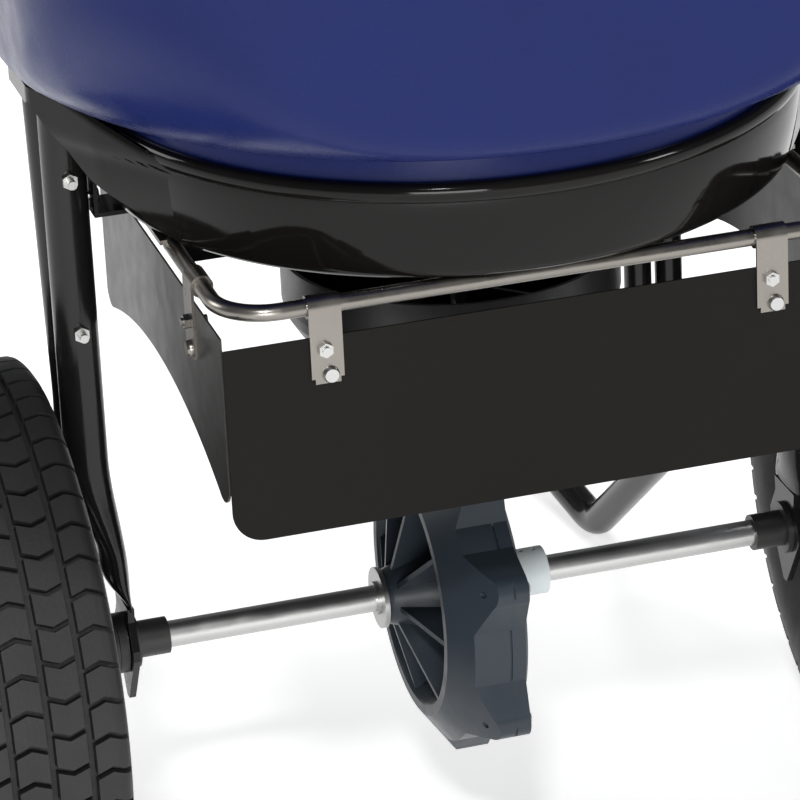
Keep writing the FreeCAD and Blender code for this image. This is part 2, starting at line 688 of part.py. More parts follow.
def base_pan():
    """Round pan that closes the hopper: rolled rim, curved wall, sloped floor, ports, two wings."""
    w = PAN_WALL
    bead = []
    for step in range(9):
        turn = math.radians(100.0 - 22.5 * step)
        bead.append((PAN_RIM_R - 3.0 + 4.5 * math.cos(turn), PAN_RIM_Z - 5.5 + 5.5 * math.sin(turn)))
    outline = [(RING_R + 0.5, PAN_RIM_Z - 0.5)] + bead
    outline += [(PAN_RIM_R - 1.0, 500), (PAN_RIM_R - 1.5, 490), (PAN_RIM_R - 2.7, 480),
                (PAN_RIM_R - 4.3, 470), (PAN_FOOT_R - 0.5, 462), (PAN_FOOT_R - 3, PAN_FOOT_Z - 1),
                (PAN_FOOT_R - 8, PAN_FOOT_Z - 2.5), (150, PAN_FLOOR_Z + 1), (60, PAN_FLOOR_Z),
                (13, PAN_FLOOR_Z), (13, PAN_FLOOR_Z + w), (60, PAN_FLOOR_Z + w),
                (150, PAN_FLOOR_Z + 1 + w), (PAN_FOOT_R - 9, PAN_FOOT_Z + 1.5),
                (PAN_FOOT_R - 4.5, 468), (RING_R - 1.0, 484), (RING_R + 0.5, 486)]
    wing = pan_wing()
    shape = fuse([about_z(outline), wing, mirrored(wing)])
    holes = [port(angle, 0.0) for angle in PORT_ANGLES] + wall_holes()
    holes += [cyl(2.7, vec(x, ROD_END_Y - 9, 440), Z_AXIS, 40) for x in (-ROD_SIDE_X, ROD_SIDE_X)]
    return shape.cut(holes).cut(deflector_rod())


def pan_wing():
    """Moulded wall that leaves the pan on a tangent and wraps round the tops of both tubes."""
    turn = math.radians(WING_ANGLE)
    outward = vec(math.cos(turn), math.sin(turn), 0)
    along = vec(-math.sin(turn), math.cos(turn), 0)
    start = outward * WING_REACH
    low = [(12, 457), (22, 461), (40, 470), (61, 477.5), (75, 484), (91, 497.5), (107, 511), (119, 522)]
    high = [(119, WING_TOP_Z), (91, WING_TOP_Z - 1), (75, 526), (61, 521.5), (40, 516.5), (12, 513)]
    corners = [start + along * s + vec(0, 0, z) for s, z in low + high]
    wall = Part.Face(Part.makePolygon(corners + corners[:1])).extrude(outward * PAN_WALL)
    end = start + along * 119.0
    side = block((end.x - 0.6, end.y - 1.5, WING_TOP_Z - 12), (end.x + 2.0, 47, WING_TOP_Z))
    lid = [vec(RING_R - 22, -102, 0), start + along * 14, start + along * 66, vec(RING_R, -45, 0)]
    lid = [vec(point.x, point.y, PAN_RIM_Z - 4.0) for point in lid]
    shelf = Part.Face(Part.makePolygon(lid + lid[:1])).extrude(vec(0, 0, PAN_WALL))
    shelf = shelf.cut(cyl(RING_R + 1.5, vec(0, 0, 480), Z_AXIS, 60))
    return fuse([wall, side, shelf])


def port(angle, shift):
    """Outlet hole through pan floor and gate; shift moves it along Y."""
    turn = math.radians(angle)
    centre = vec(PORT_CENTRE_R * math.cos(turn), PORT_CENTRE_R * math.sin(turn) + shift, 430)
    return cyl(PORT_R, centre, Z_AXIS, 60)


def wall_holes():
    """Holes for the screws through pan wall and hopper ring, at the sides and back."""
    holes = []
    for angle in WALL_SCREW_ANGLES:
        hole = cyl(2.3, vec(PAN_RIM_R + 2, 0, WALL_SCREW_Z), X_AXIS * -1, 15.0)
        hole.rotate(vec(0, 0, 0), Z_AXIS, angle)
        holes.append(hole)
    return holes


def hopper_screws():
    screws = []
    for angle in WALL_SCREW_ANGLES:
        screw = pan_screw(2.25, vec(PAN_RIM_R - 0.2, 0, WALL_SCREW_Z), X_AXIS * -1, 11.0)
        screw.rotate(vec(0, 0, 0), Z_AXIS, angle)
        screws.append(screw)
    return group(screws)


def shaft_bush():
    """Flanged nylon bush in the pan for the spinner shaft."""
    body = fuse([cyl(12.9, vec(0, 0, PAN_FLOOR_Z - 1.2), Z_AXIS, 16),
                 cyl(17.0, vec(0, 0, PAN_FLOOR_Z + PAN_WALL), Z_AXIS, 3)])
    return body.cut(cyl(SHAFT_R + RUNNING, vec(0, 0, 440), Z_AXIS, 40))


# ---- deflector ----
def deflector_rod():
    """Stainless rod round three sides of the outlet; its ends are pressed flat and drilled."""
    side_y = ROD_END_Y - 34.0
    points = [(-ROD_SIDE_X, side_y, ROD_Z), (-ROD_SIDE_X, ROD_Y, ROD_Z), (ROD_SIDE_X, ROD_Y, ROD_Z),
              (ROD_SIDE_X, side_y, ROD_Z)]
    bar = swept(points, [ROD_BEND, ROD_BEND], ROD_R)
    strips = []
    for sx in (-1, 1):
        strip = block((sx * ROD_SIDE_X - 7, side_y - 3, ROD_Z + 1.2),
                      (sx * ROD_SIDE_X + 7, ROD_END_Y, ROD_Z + 3.8))
        strips.append(strip.cut(cyl(2.7, vec(sx * ROD_SIDE_X, ROD_END_Y - 9, 430), Z_AXIS, 40)))
    return fuse([bar] + strips)


def rod_bolts():
    bolts = []
    for sx in (-1, 1):
        start = vec(sx * ROD_SIDE_X, ROD_END_Y - 9, ROD_Z + 1.0)
        bolts.append(fuse([cyl(2.6, start, Z_AXIS, 8.0), hexagon(8.5, start - Z_AXIS * 3.4, Z_AXIS, 3.4)]))
    return group(bolts)


def hanger_tab(drop_z):
    """Strip looped over the rod, hanging in front of it; made at X = 0 on the front run."""
    loop_r = ROD_R + 0.05
    ring = tube(loop_r + TAB_T, loop_r, vec(-TAB_HALF, ROD_Y, ROD_Z), X_AXIS, 2 * TAB_HALF)
    front_y = ROD_Y - loop_r - TAB_T
    strip = block((-TAB_HALF, front_y, drop_z + 3), (TAB_HALF, front_y + TAB_T, ROD_Z))
    foot = block((-TAB_HALF + 2, front_y, drop_z), (TAB_HALF - 2, front_y + TAB_T, drop_z + 4))
    holes = [cyl(2.4, vec(x, front_y - 5, z), Y_AXIS, 12) for x, z in tab_screw_places()]
    return fuse([ring, strip, foot]).cut(holes)


def tab_screw_places():
    return ((-1.0, 428.5), (1.5, 413.5))


def tab_screws():
    """A hexagon bolt and a round-headed screw through tab and panel, with nuts behind."""
    front_y = ROD_Y - ROD_R - 0.05 - TAB_T
    (x0, z0), (x1, z1) = tab_screw_places()
    first = fuse([cyl(2.3, vec(x0, front_y - 4.5, z0), Y_AXIS, 15),
                  hexagon(7.5, vec(x0, front_y - 3.0, z0), Y_AXIS, 3.0),
                  hexagon(7.5, vec(x0, front_y + TAB_T + PANEL_T + 0.1, z0), Y_AXIS, 3.2)])
    second = fuse([pan_screw(2.3, vec(x1, front_y, z1), Y_AXIS, 11),
                   hexagon(7.5, vec(x1, front_y + TAB_T + PANEL_T + 0.1, z1), Y_AXIS, 3.2)])
    return [first, second]


def panel_y():
    """Front face of the front panel: it lies against the back of the tabs."""
    return ROD_Y - ROD_R - 0.05


def front_panel():
    y = panel_y()
    r = PANEL_CORNER
    h = PANEL_HALF
    k = r * (1 - math.sqrt(0.5))
    low, top = PANEL_LOW_Z, PANEL_TOP_Z
    edges = [Part.makeLine(vec(-h, y, low + r), vec(-h, y, top)),
             Part.makeLine(vec(-h, y, top), vec(h, y, top)),
             Part.makeLine(vec(h, y, top), vec(h, y, low + r)),
             Part.Arc(vec(h, y, low + r), vec(h - k, y, low + k), vec(h - r, y, low)).toShape(),
             Part.makeLine(vec(h - r, y, low), vec(-h + r, y, low)),
             Part.Arc(vec(-h + r, y, low), vec(-h + k, y, low + k), vec(-h, y, low + r)).toShape()]
    plate = Part.Face(Part.Wire(edges)).extrude(vec(0, PANEL_T, 0))
    holes = []
    for sx in (-1, 1):
        for x, z in tab_screw_places():
            holes.append(cyl(2.4, vec(sx * TAB_X + x, y - 5, z), Y_AXIS, 12))
    return plate.cut(holes)


def front_tabs():
    tabs = []
    for sx in (-1, 1):
        tab = hanger_tab(TAB_DROP_Z)
        tab.translate(vec(sx * TAB_X, 0, 0))
        tabs.append(tab)
    return group(tabs)


def front_tab_screws():
    screws = []
    for sx in (-1, 1):
        for screw in tab_screws():
            screw.translate(vec(sx * TAB_X, 0, 0))
            screws.append(screw)
    return group(screws)


def to_left_side(shape):
    """Turn a piece made on the front run so that it hangs on the left side run."""
    shape.translate(vec(0, -ROD_Y, 0))
    shape.rotate(vec(0, 0, 0), Z_AXIS, -90)
    shape.translate(vec(-ROD_SIDE_X, SIDE_TAB_Y, 0))
    return shape


def side_tab(side):
    shape = to_left_side(hanger_tab(TAB_DROP_Z))
    return shape if side < 0 else mirrored(shape)


def side_tab_screws(side):
    shapes = [to_left_side(screw) for screw in tab_screws()]
    if side > 0:
        shapes = [mirrored(shape) for shape in shapes]
    return group(shapes)


def side_panel(side):
    """Side deflector: straight top, arched lower edge, rounded front foot."""
    x = -ROD_SIDE_X - ROD_R - 0.05
    y0, y1 = SIDE_Y
    top = SIDE_TOP_Z
    edges = [Part.makeLine(vec(x, y0, 352), vec(x, y0, top)),
             Part.makeLine(vec(x, y0, top), vec(x, y1, top)),
             Part.makeLine(vec(x, y1, top), vec(x, y1, 366)),
             Part.Arc(vec(x, y1, 366), vec(x, y1 - 4, 360), vec(x, y1 - 12, 358)).toShape(),
             Part.Arc(vec(x, y1 - 12, 358), vec(x, -52, 373), vec(x, -166, 344)).toShape(),
             Part.Arc(vec(x, -166, 344), vec(x, -181, 343.5), vec(x, y0, 352)).toShape()]
    plate = Part.Face(Part.Wire(edges)).extrude(vec(PANEL_T, 0, 0))
    holes = []
    for along, z in tab_screw_places():
        holes.append(cyl(2.4, vec(x - 5, SIDE_TAB_Y - along, z), X_AXIS, 12))
    plate = plate.cut(holes)
    return plate if side < 0 else mirrored(plate)


# ---- gearbox ----
def lobed(x0, x1, grow):
    """Round case with pointed screw lobes, between two planes across the axle."""
    length = x1 - x0
    case = [cyl(BOX_R + grow, vec(x0, 0, AXLE_Z), X_AXIS, length)]
    reach = LOBE_R - LOBE_ROUND
    for angle in LOBE_ANGLES:
        spread = math.radians(LOBE_SPREAD)
        root_y, root_z = (BOX_R - 2) * math.cos(spread), (BOX_R - 2) * math.sin(spread)
        tip_y, tip_z = reach + LOBE_ROUND * 0.55, LOBE_ROUND * 0.835
        outline = [(60, -root_z), (root_y, -root_z), (tip_y, -tip_z), (tip_y, tip_z), (root_y, root_z),
                   (60, root_z)]
        corners = [vec(x0, -y, AXLE_Z + z) for y, z in outline + outline[:1]]
        arm = Part.Face(Part.makePolygon(corners)).extrude(vec(length, 0, 0))
        arm = fuse([arm, cyl(LOBE_ROUND, vec(x0, -reach, AXLE_Z), X_AXIS, length)])
        arm.rotate(AXLE_CENTRE, X_AXIS, -angle)
        case.append(arm)
    whole = fuse(case)
    if grow:
        whole = whole.common(cyl(LOBE_R + grow, vec(x0, 0, AXLE_Z), X_AXIS, length))
    return whole


def lobe_place(angle, x):
    turn = math.radians(angle)
    reach = LOBE_R - LOBE_ROUND + 1.5
    return vec(x, -reach * math.cos(turn), AXLE_Z + reach * math.sin(turn))


def shaft_boss(grow):
    """Vertical neck round the pinion shaft."""
    return fuse([cyl(17.5 + grow, vec(0, 0, AXLE_Z + 55), Z_AXIS, 47),
                 cyl(12.5 + grow, vec(0, 0, AXLE_Z + 55), Z_AXIS, 66)])


def gearbox_cavity():
    room = about_axle([(BOX_LEFT_X + BOX_SHELL + 0.4, 0), (BOX_LEFT_X + BOX_SHELL + 0.4, 88.5),
                       (BOX_RIGHT_X - BOX_SHELL, 88.5), (BOX_RIGHT_X - BOX_SHELL, 0)])
    pinion_room = cyl(15.0, vec(0, 0, AXLE_Z + 60), Z_AXIS, 38)
    shaft = cyl(SHAFT_R + RUNNING, vec(0, 0, AXLE_Z + 60), Z_AXIS, 80)
    bore = cyl(AXLE_R + RUNNING, vec(-70, 0, AXLE_Z), X_AXIS, 140)
    return [room, pinion_room, shaft, bore]


def lobe_holes():
    return [cyl(2.0, lobe_place(angle, -30), X_AXIS, 60) for angle in LOBE_ANGLES]


def gearbox_left():
    """Deep half: lobed rim, bevelled shoulder, recessed web, ribs and a long hub."""
    left = BOX_LEFT_X
    envelope = about_axle([(left - 12, 0), (left - 12, 75), (left - 10, 78), (-9, LOBE_R + 1),
                           (-SEAM, LOBE_R + 1), (-SEAM, 0)])
    case = lobed(left - 12, -SEAM, 0).common(envelope)
    case = case.cut(about_axle([(left - 13, 0), (left - 13, 70), (left - 11, 68), (left - 1, 61),
                                (left + 1, 0)]))
    lip = lobed(-SEAM, 0, -SEAM_DEEP)
    hub = about_axle([(HUB_LEFT_X, 0), (HUB_LEFT_X, 15.5), (HUB_LEFT_X + 3, 17.0), (left + 4, 27),
                      (left + 4, 0)])
    ribs = []
    for i in range(8):
        rib = Part.Face(Part.makePolygon([vec(HUB_LEFT_X + 5, -1.6, AXLE_Z + 15),
                                          vec(left - 9.5, -1.6, AXLE_Z + 69),
                                          vec(left + 3, -1.6, AXLE_Z + 69),
                                          vec(left + 3, -1.6, AXLE_Z + 15),
                                          vec(HUB_LEFT_X + 5, -1.6, AXLE_Z + 15)]))
        rib = rib.extrude(vec(0, 3.2, 0))
        rib.rotate(AXLE_CENTRE, X_AXIS, 45.0 * i + 4.0)
        ribs.append(rib)
    web = cyl(64, vec(left, 0, AXLE_Z), X_AXIS, 5)
    boss = shaft_boss(0).common(block((-40, -40, AXLE_Z), (0, 40, 400)))
    shape = fuse([case, lip, hub, web, boss] + ribs)
    return shape.cut(gearbox_cavity() + lobe_holes())


def gearbox_right():
    """Shallow half: lobed rim, shallow dome and a short hub."""
    right = BOX_RIGHT_X
    case = fuse([lobed(0.05, SEAM, -SEAM_DEEP), lobed(SEAM, right - 3, 0)])
    dome = about_axle([(right - 3, 0), (right - 3, BOX_R - 1), (right, BOX_R - 6), (right + 2, 40),
                       (right + 5, 24), (HUB_RIGHT_X, 17.0), (HUB_RIGHT_X, 0)])
    boss = shaft_boss(0).common(block((0.05, -40, AXLE_Z), (40, 40, 400)))
    shape = fuse([case, dome, boss])
    return shape.cut(gearbox_cavity() + lobe_holes())


def gearbox_screws():
    screws = []
    for angle in LOBE_ANGLES:
        start = lobe_place(angle, BOX_RIGHT_X - 3)
        screws.append(pan_screw(1.9, start, X_AXIS * -1, 22))
    return group(screws)


def axle_washer():
    """Thrust washer and nylon ring on the axle at the gearbox's left hub."""
    ring = tube(18.5, AXLE_R + 0.02, vec(HUB_LEFT_X - 3.3, 0, AXLE_Z), X_AXIS, 3.0)
    sleeve = tube(10.0, AXLE_R + 0.02, vec(HUB_LEFT_X - 5.3, 0, AXLE_Z), X_AXIS, 2.2)
    return fuse([ring, sleeve])


def axle_collar():
    """Moulded collar pinned to the axle at the gearbox's right hub."""
    start = HUB_RIGHT_X + 0.5
    body = tube(14.5, AXLE_R + 0.02, vec(start, 0, AXLE_Z), X_AXIS, 20.0)
    holes = [cyl(1.6, vec(start + x, 0, AXLE_Z + 9), Z_AXIS, 10) for x in (6.0, 14.0)]
    return body.cut(holes)


def crown_pin(radius):
    return cyl(radius, vec(2.0, 0, AXLE_Z - 13.5), Z_AXIS, 27)


def crown_gear():
    """Face gear on the axle; its teeth point to the right and meet the pinion from below."""
    face = -PINION_PITCH_R
    root_x = face - TOOTH_ROOT
    tip_x = face + TOOTH_TOP
    r0, r1 = CROWN_FACE
    disc = about_axle([(root_x - 2.6, AXLE_R), (root_x - 2.6, r1), (root_x, r1), (root_x, AXLE_R)])
    hub = cyl(13.5, vec(root_x - 1, 0, AXLE_Z), X_AXIS, 8 - root_x + 1)
    half_pitch = 0.9
    slope = math.tan(math.radians(20))
    root_half = half_pitch + TOOTH_ROOT * slope
    tip_half = half_pitch - TOOTH_TOP * slope
    teeth = []
    for i in range(CROWN_TEETH):
        outline = [vec(root_x - 0.5, -root_half, AXLE_Z + r0), vec(tip_x, -tip_half, AXLE_Z + r0),
                   vec(tip_x, tip_half, AXLE_Z + r0), vec(root_x - 0.5, root_half, AXLE_Z + r0)]
        tooth = Part.Face(Part.makePolygon(outline + outline[:1])).extrude(vec(0, 0, r1 - r0 - 0.6))
        tooth.rotate(AXLE_CENTRE, X_AXIS, (i + 0.5) * 360.0 / CROWN_TEETH)
        teeth.append(tooth)
    shape = fuse([disc, hub] + teeth)
    return shape.cut([cyl(AXLE_R, vec(-60, 0, AXLE_Z), X_AXIS, 120), crown_pin(2.0)])


def crown_roll_pin():
    return crown_pin(1.98)


def pinion():
    """Small spur pinion on the spinner shaft, with a tooth towards the crown gear at rest."""
    root_r = PINION_PITCH_R - TOOTH_ROOT
    tip_r = PINION_PITCH_R + TOOTH_TOP - 0.2
    z0 = AXLE_Z + CROWN_FACE[0] + 0.6
    height = CROWN_FACE[1] - CROWN_FACE[0]
    parts = [cyl(root_r, vec(0, 0, z0), Z_AXIS, height)]
    for i in range(PINION_TEETH):
        outline = [vec(-root_r + 1, -1.7, z0), vec(-tip_r, -0.5, z0), vec(-tip_r, 0.5, z0),
                   vec(-root_r + 1, 1.7, z0)]
        tooth = Part.Face(Part.makePolygon(outline + outline[:1])).extrude(vec(0, 0, height))
        tooth.rotate(vec(0, 0, 0), Z_AXIS, 360.0 * i / PINION_TEETH)
        parts.append(tooth)
    return fuse(parts).cut(cyl(SHAFT_R, vec(0, 0, 200), Z_AXIS, 100))


# ---- spinner ----
def spinner_shaft():
    bar = cyl(SHAFT_R, vec(0, 0, AXLE_Z + 68), Z_AXIS, 520 - AXLE_Z - 68)
    return bar.cut([agitator_hole(), spinner_pin_hole()])


def agitator_hole():
    return cyl(2.6, vec(-60, 0, 506), X_AXIS, 120)


def spinner_pin_hole():
    return cyl(2.0, vec(-30, 0, SPINNER_Z[0] - 12), X_AXIS, 60)


def spinner():
    """Spreading disc shaped as a shallow drum with throwing fins and a pinned hub."""
    z0, z1 = SPINNER_Z
    r = SPINNER_R
    cup = about_z([(SHAFT_R, z0), (r - 18, z0), (r - 7, z0 + 4), (r - 1.5, z0 + 13), (r, z0 + 20),
                   (r, z1), (r - 2.5, z1), (r - 2.5, z0 + 20), (r - 4, z0 + 14), (r - 9, z0 + 7),
                   (r - 19, z0 + 3), (SHAFT_R, z0 + 3)])
    hub = tube(12.0, SHAFT_R, vec(0, 0, z0 - 20), Z_AXIS, 44)
    fins = []
    for i in range(6):
        fin = block((11, -1.3, z0 + 2), (r - 6, 1.3, z0 + 22))
        fin.rotate(vec(0, 0, 0), Z_AXIS, 60.0 * i + 15.0)
        fins.append(fin)
    return fuse([cup, hub] + fins).cut(spinner_pin_hole())


def spinner_pin():
    return cyl(1.98, vec(-14, 0, SPINNER_Z[0] - 12), X_AXIS, 28)


def agitator():
    """Bent wire finger through the top of the shaft."""
    wire = swept([(-34, 0, 492), (-22, 0, 506), (22, 0, 506), (34, 0, 520)], [6.0, 6.0], 2.5)
    return wire


# ---- gate and its linkage ----
def stroke(way, degrees):
    """Turn a (y, z) direction about the X axis."""
    turn = math.radians(degrees)
    y, z = way
    return (y * math.cos(turn) - z * math.sin(turn), y * math.sin(turn) + z * math.cos(turn))


def link_way():
    """Unit vector of the link arms at rest, square to the link rod at mid stroke."""
    dy = LEVER_PIVOT[0] - CRANK_Y
    dz = LEVER_PIVOT[1] - CRANK_Z
    span = math.hypot(dy, dz)
    return stroke((-dz / span, dy / span), -HALF_STROKE)


def gate_plate():
    """Sliding shutter under the pan floor, closed at rest, with a tongue to the crank."""
    z0, z1 = GATE_Z
    plate = block((-66, -78, z0), (66, 44, z1))
    tongue = block((-11, 40, z0), (11, CRANK_Y + 12, z1))
    shaft_slot = fuse([cyl(14.5, vec(0, 0, z0 - 1), Z_AXIS, 5),
                       cyl(14.5, vec(0, -GATE_TRAVEL, z0 - 1), Z_AXIS, 5),
                       block((-14.5, -GATE_TRAVEL, z0 - 1), (14.5, 0, z1 + 1))])
    finger_y = CRANK_Y - GATE_ARM * math.sin(math.radians(HALF_STROKE))
    finger = block((-3.0, finger_y - 6.6, z0 - 1), (3.0, finger_y + 6.6, z1 + 1))
    ports = [port(angle, -GATE_TRAVEL) for angle in PORT_ANGLES]
    return fuse([plate, tongue]).cut([shaft_slot, finger] + ports)


def arm_plate(centre, way, length, half_w, x0, x1):
    """Flat arm with round ends, from centre along a (y, z) direction."""
    y, z = centre
    tip = (y + way[0] * length, z + way[1] * length)
    bar = block((x0, y, z - half_w), (x1, y + length, z + half_w))
    bar.rotate(vec(0, y, z), X_AXIS, math.degrees(math.atan2(way[1], way[0])))
    return fuse([bar, cyl(half_w, vec(x0, y, z), X_AXIS, x1 - x0),
                 cyl(half_w, vec(x0, tip[0], tip[1]), X_AXIS, x1 - x0)])


def crank():
    """Bell crank: one arm in the gate's slot, one arm on the link rod."""
    centre = (CRANK_Y, CRANK_Z)
    gate_way = stroke((0.0, -1.0), -HALF_STROKE)
    finger = arm_plate(centre, gate_way, GATE_ARM - 2.5, 4.6, -2.0, 2.0)
    arm = arm_plate(centre, link_way(), LINK_ARM, 7.0, -2.0, 2.0)
    hub = cyl(9.0, vec(-7, CRANK_Y, CRANK_Z), X_AXIS, 14)
    shape = fuse([finger, arm, hub])
    return shape.cut([cyl(4.05, vec(-20, CRANK_Y, CRANK_Z), X_AXIS, 40), link_pin_hole(crank_end())])


def crank_end():
    way = link_way()
    return (CRANK_Y + way[0] * LINK_ARM, CRANK_Z + way[1] * LINK_ARM)


def lever_end():
    way = link_way()
    return (LEVER_PIVOT[0] + way[0] * LINK_ARM, LEVER_PIVOT[1] + way[1] * LINK_ARM)


def link_pin_hole(place):
    return cyl(3.05, vec(-10, place[0], place[1]), X_AXIS, 20)


def crank_bracket():
    """U-shaped bracket on the tail of the bridge, with the crank's pin."""
    base = BRIDGE_TOP
    ears = []
    for sx in (-1, 1):
        x0, x1 = sorted((sx * 14.5, sx * 17.0))
        ears.append(block((x0, CRANK_Y - 12, base), (x1, CRANK_Y + 12, CRANK_Z)))
        ears.append(cyl(12, vec(x0, CRANK_Y, CRANK_Z), X_AXIS, 2.5))
    pin = fuse([cyl(4.0, vec(-19, CRANK_Y, CRANK_Z), X_AXIS, 38),
                cyl(6.5, vec(-20.5, CRANK_Y, CRANK_Z), X_AXIS, 2.5),
                cyl(6.5, vec(18.0, CRANK_Y, CRANK_Z), X_AXIS, 2.5)])
    foot = [block((14.5, CRANK_Y - 12, base), (FOOT_HALF, CRANK_Y + 12, base + 2.5)),
            block((-FOOT_HALF, CRANK_Y - 12, base), (-14.5, CRANK_Y + 12, base + 2.5))]
    return fuse(ears + foot + [pin]).cut(foot_holes())


def link_rod():
    """Straight rod between crank and lever; each end turns sideways into its arm."""
    low, high = crank_end(), lever_end()
    x = 7.5
    points = [(-4.0, low[0], low[1]), (x, low[0], low[1]), (x, high[0], high[1]),
              (-4.0, high[0], high[1])]
    return swept(points, [4.5, 4.5], 3.0)


def lever_tube():
    """Cross tube between the handle's sides that carries the lever bracket."""
    y, z = lever_tube_place()
    half = HANDLE_TOP[0] - STAND_R - 0.2
    plug = 16.0
    bar = cyl(LEVER_TUBE_R, vec(-half, y, z), X_AXIS, 2 * half)
    hollow = cyl(LEVER_TUBE_R - TUBE_WALL, vec(-half + plug, y, z), X_AXIS, 2 * (half - plug))
    return bar.cut([hollow, cyl(2.45, vec(-half - 1, y, z), X_AXIS, 2 * half + 2)])


def lever_tube_screws():
    """Screws through the handle's sides into the plugged ends of the cross tube."""
    y, z = lever_tube_place()
    screw = pan_screw(2.4, vec(HANDLE_TOP[0] + STAND_R + 0.1, y, z), X_AXIS * -1, 34.0)
    return group([screw, mirrored(screw)])


def lever_tube_place():
    z = LEVER_PIVOT[1] - LEVER_TUBE_DROP
    return handle_line(z), z


def handle_line(z):
    """Y of the upper handle's centre line at a height above its bend."""
    low, high = HANDLE_BEND, HANDLE_TOP
    return low[1] + (high[1] - low[1]) * (z - low[2]) / (high[2] - low[2])


def lever_bracket():
    """Quadrant plate and ears on the cross tube; the lever turns on its pin."""
    y, z = LEVER_PIVOT
    tube_y, tube_z = lever_tube_place()
    plates = []
    for x0 in (12.0, -15.0):
        plates.append(cyl(26, vec(x0, y, z), X_AXIS, 3.0))
        plates.append(arm_plate((y, z), unit((tube_y - y, tube_z - z)),
                                math.hypot(tube_y - y, tube_z - z), 16.0, x0, x0 + 3.0))
    clamp = tube(LEVER_TUBE_R + 4, LEVER_TUBE_R + 0.05, vec(-15, tube_y, tube_z), X_AXIS, 30)
    pin = fuse([cyl(4.0, vec(-17, y, z), X_AXIS, 34), cyl(7, vec(-19.5, y, z), X_AXIS, 3),
                cyl(7, vec(16.5, y, z), X_AXIS, 3)])
    bore = cyl(LEVER_TUBE_R + 0.05, vec(-20, tube_y, tube_z), X_AXIS, 40)
    return fuse(plates + [pin, clamp]).cut(bore)


def unit(way):
    span = math.hypot(*way)
    return (way[0] / span, way[1] / span)


def rate_quadrant():
    """Plate with an arc slot beside the lever, left blank, with a stop screw."""
    y, z = LEVER_PIVOT
    plate = cyl(92, vec(15.1, y, z), X_AXIS, 2.5).cut(cyl(60, vec(14, y, z), X_AXIS, 5))
    wedge = block((14, y - 100, z + 20), (18, y + 100, z + 100))
    plate = plate.common(wedge)
    slot = cyl(80, vec(14, y, z), X_AXIS, 5).cut(cyl(73, vec(14, y, z), X_AXIS, 5))
    slot = slot.common(block((14, y - 60, z + 38), (19, y + 60, z + 100)))
    legs = [arm_plate((y, z), unit((sy * 0.9, 0.5)), 70.0, 6.0, 15.1, 17.6) for sy in (-1, 1)]
    ring = cyl(14, vec(15.1, y, z), X_AXIS, 2.5)
    hole = cyl(7.2, vec(10, y, z), X_AXIS, 12)
    return fuse([plate.cut(slot)] + legs + [ring]).cut(hole)


def rate_stop():
    """Knurled stop screw clamped at the open end of the quadrant slot."""
    turn = math.radians(90 + 40)
    y = LEVER_PIVOT[0] + 76.5 * math.cos(turn)
    z = LEVER_PIVOT[1] + 76.5 * math.sin(turn)
    return fuse([cyl(3.2, vec(9.5, y, z), X_AXIS, 12), cyl(9.0, vec(17.8, y, z), X_AXIS, 11),
                 cyl(6.5, vec(11.5, y, z), X_AXIS, 3.4)])


def control_lever():
    """Flat lever: link arm below its pivot, hand arm above."""
    up_way = stroke((0.0, 1.0), -HALF_STROKE)
    up = arm_plate(LEVER_PIVOT, up_way, LEVER_UP, 8.0, -2.0, 2.0)
    arm = arm_plate(LEVER_PIVOT, link_way(), LINK_ARM, 7.5, -2.0, 2.0)
    hub = cyl(11.0, vec(-10.5, LEVER_PIVOT[0], LEVER_PIVOT[1]), X_AXIS, 21)
    bore = cyl(4.05, vec(-30, LEVER_PIVOT[0], LEVER_PIVOT[1]), X_AXIS, 60)
    return fuse([up, arm, hub]).cut([bore, link_pin_hole(lever_end())])


def lever_knob():
    """Moulded hand grip on the lever's top."""
    up_way = stroke((0.0, 1.0), -HALF_STROKE)
    y = LEVER_PIVOT[0] + up_way[0] * 105.0
    z = LEVER_PIVOT[1] + up_way[1] * 105.0
    body = cyl(12.5, vec(0, y, z), vec(0, *up_way), 52)
    top = Part.makeSphere(12.5, vec(0, y + up_way[0] * 52, z + up_way[1] * 52))
    return fuse([body, top]).cut(control_lever())


# ---- all nodes ----
def solids_of(makers):
    """One group with the separate solids of several makers."""
    return group([solid for maker in makers for solid in maker().Solids])


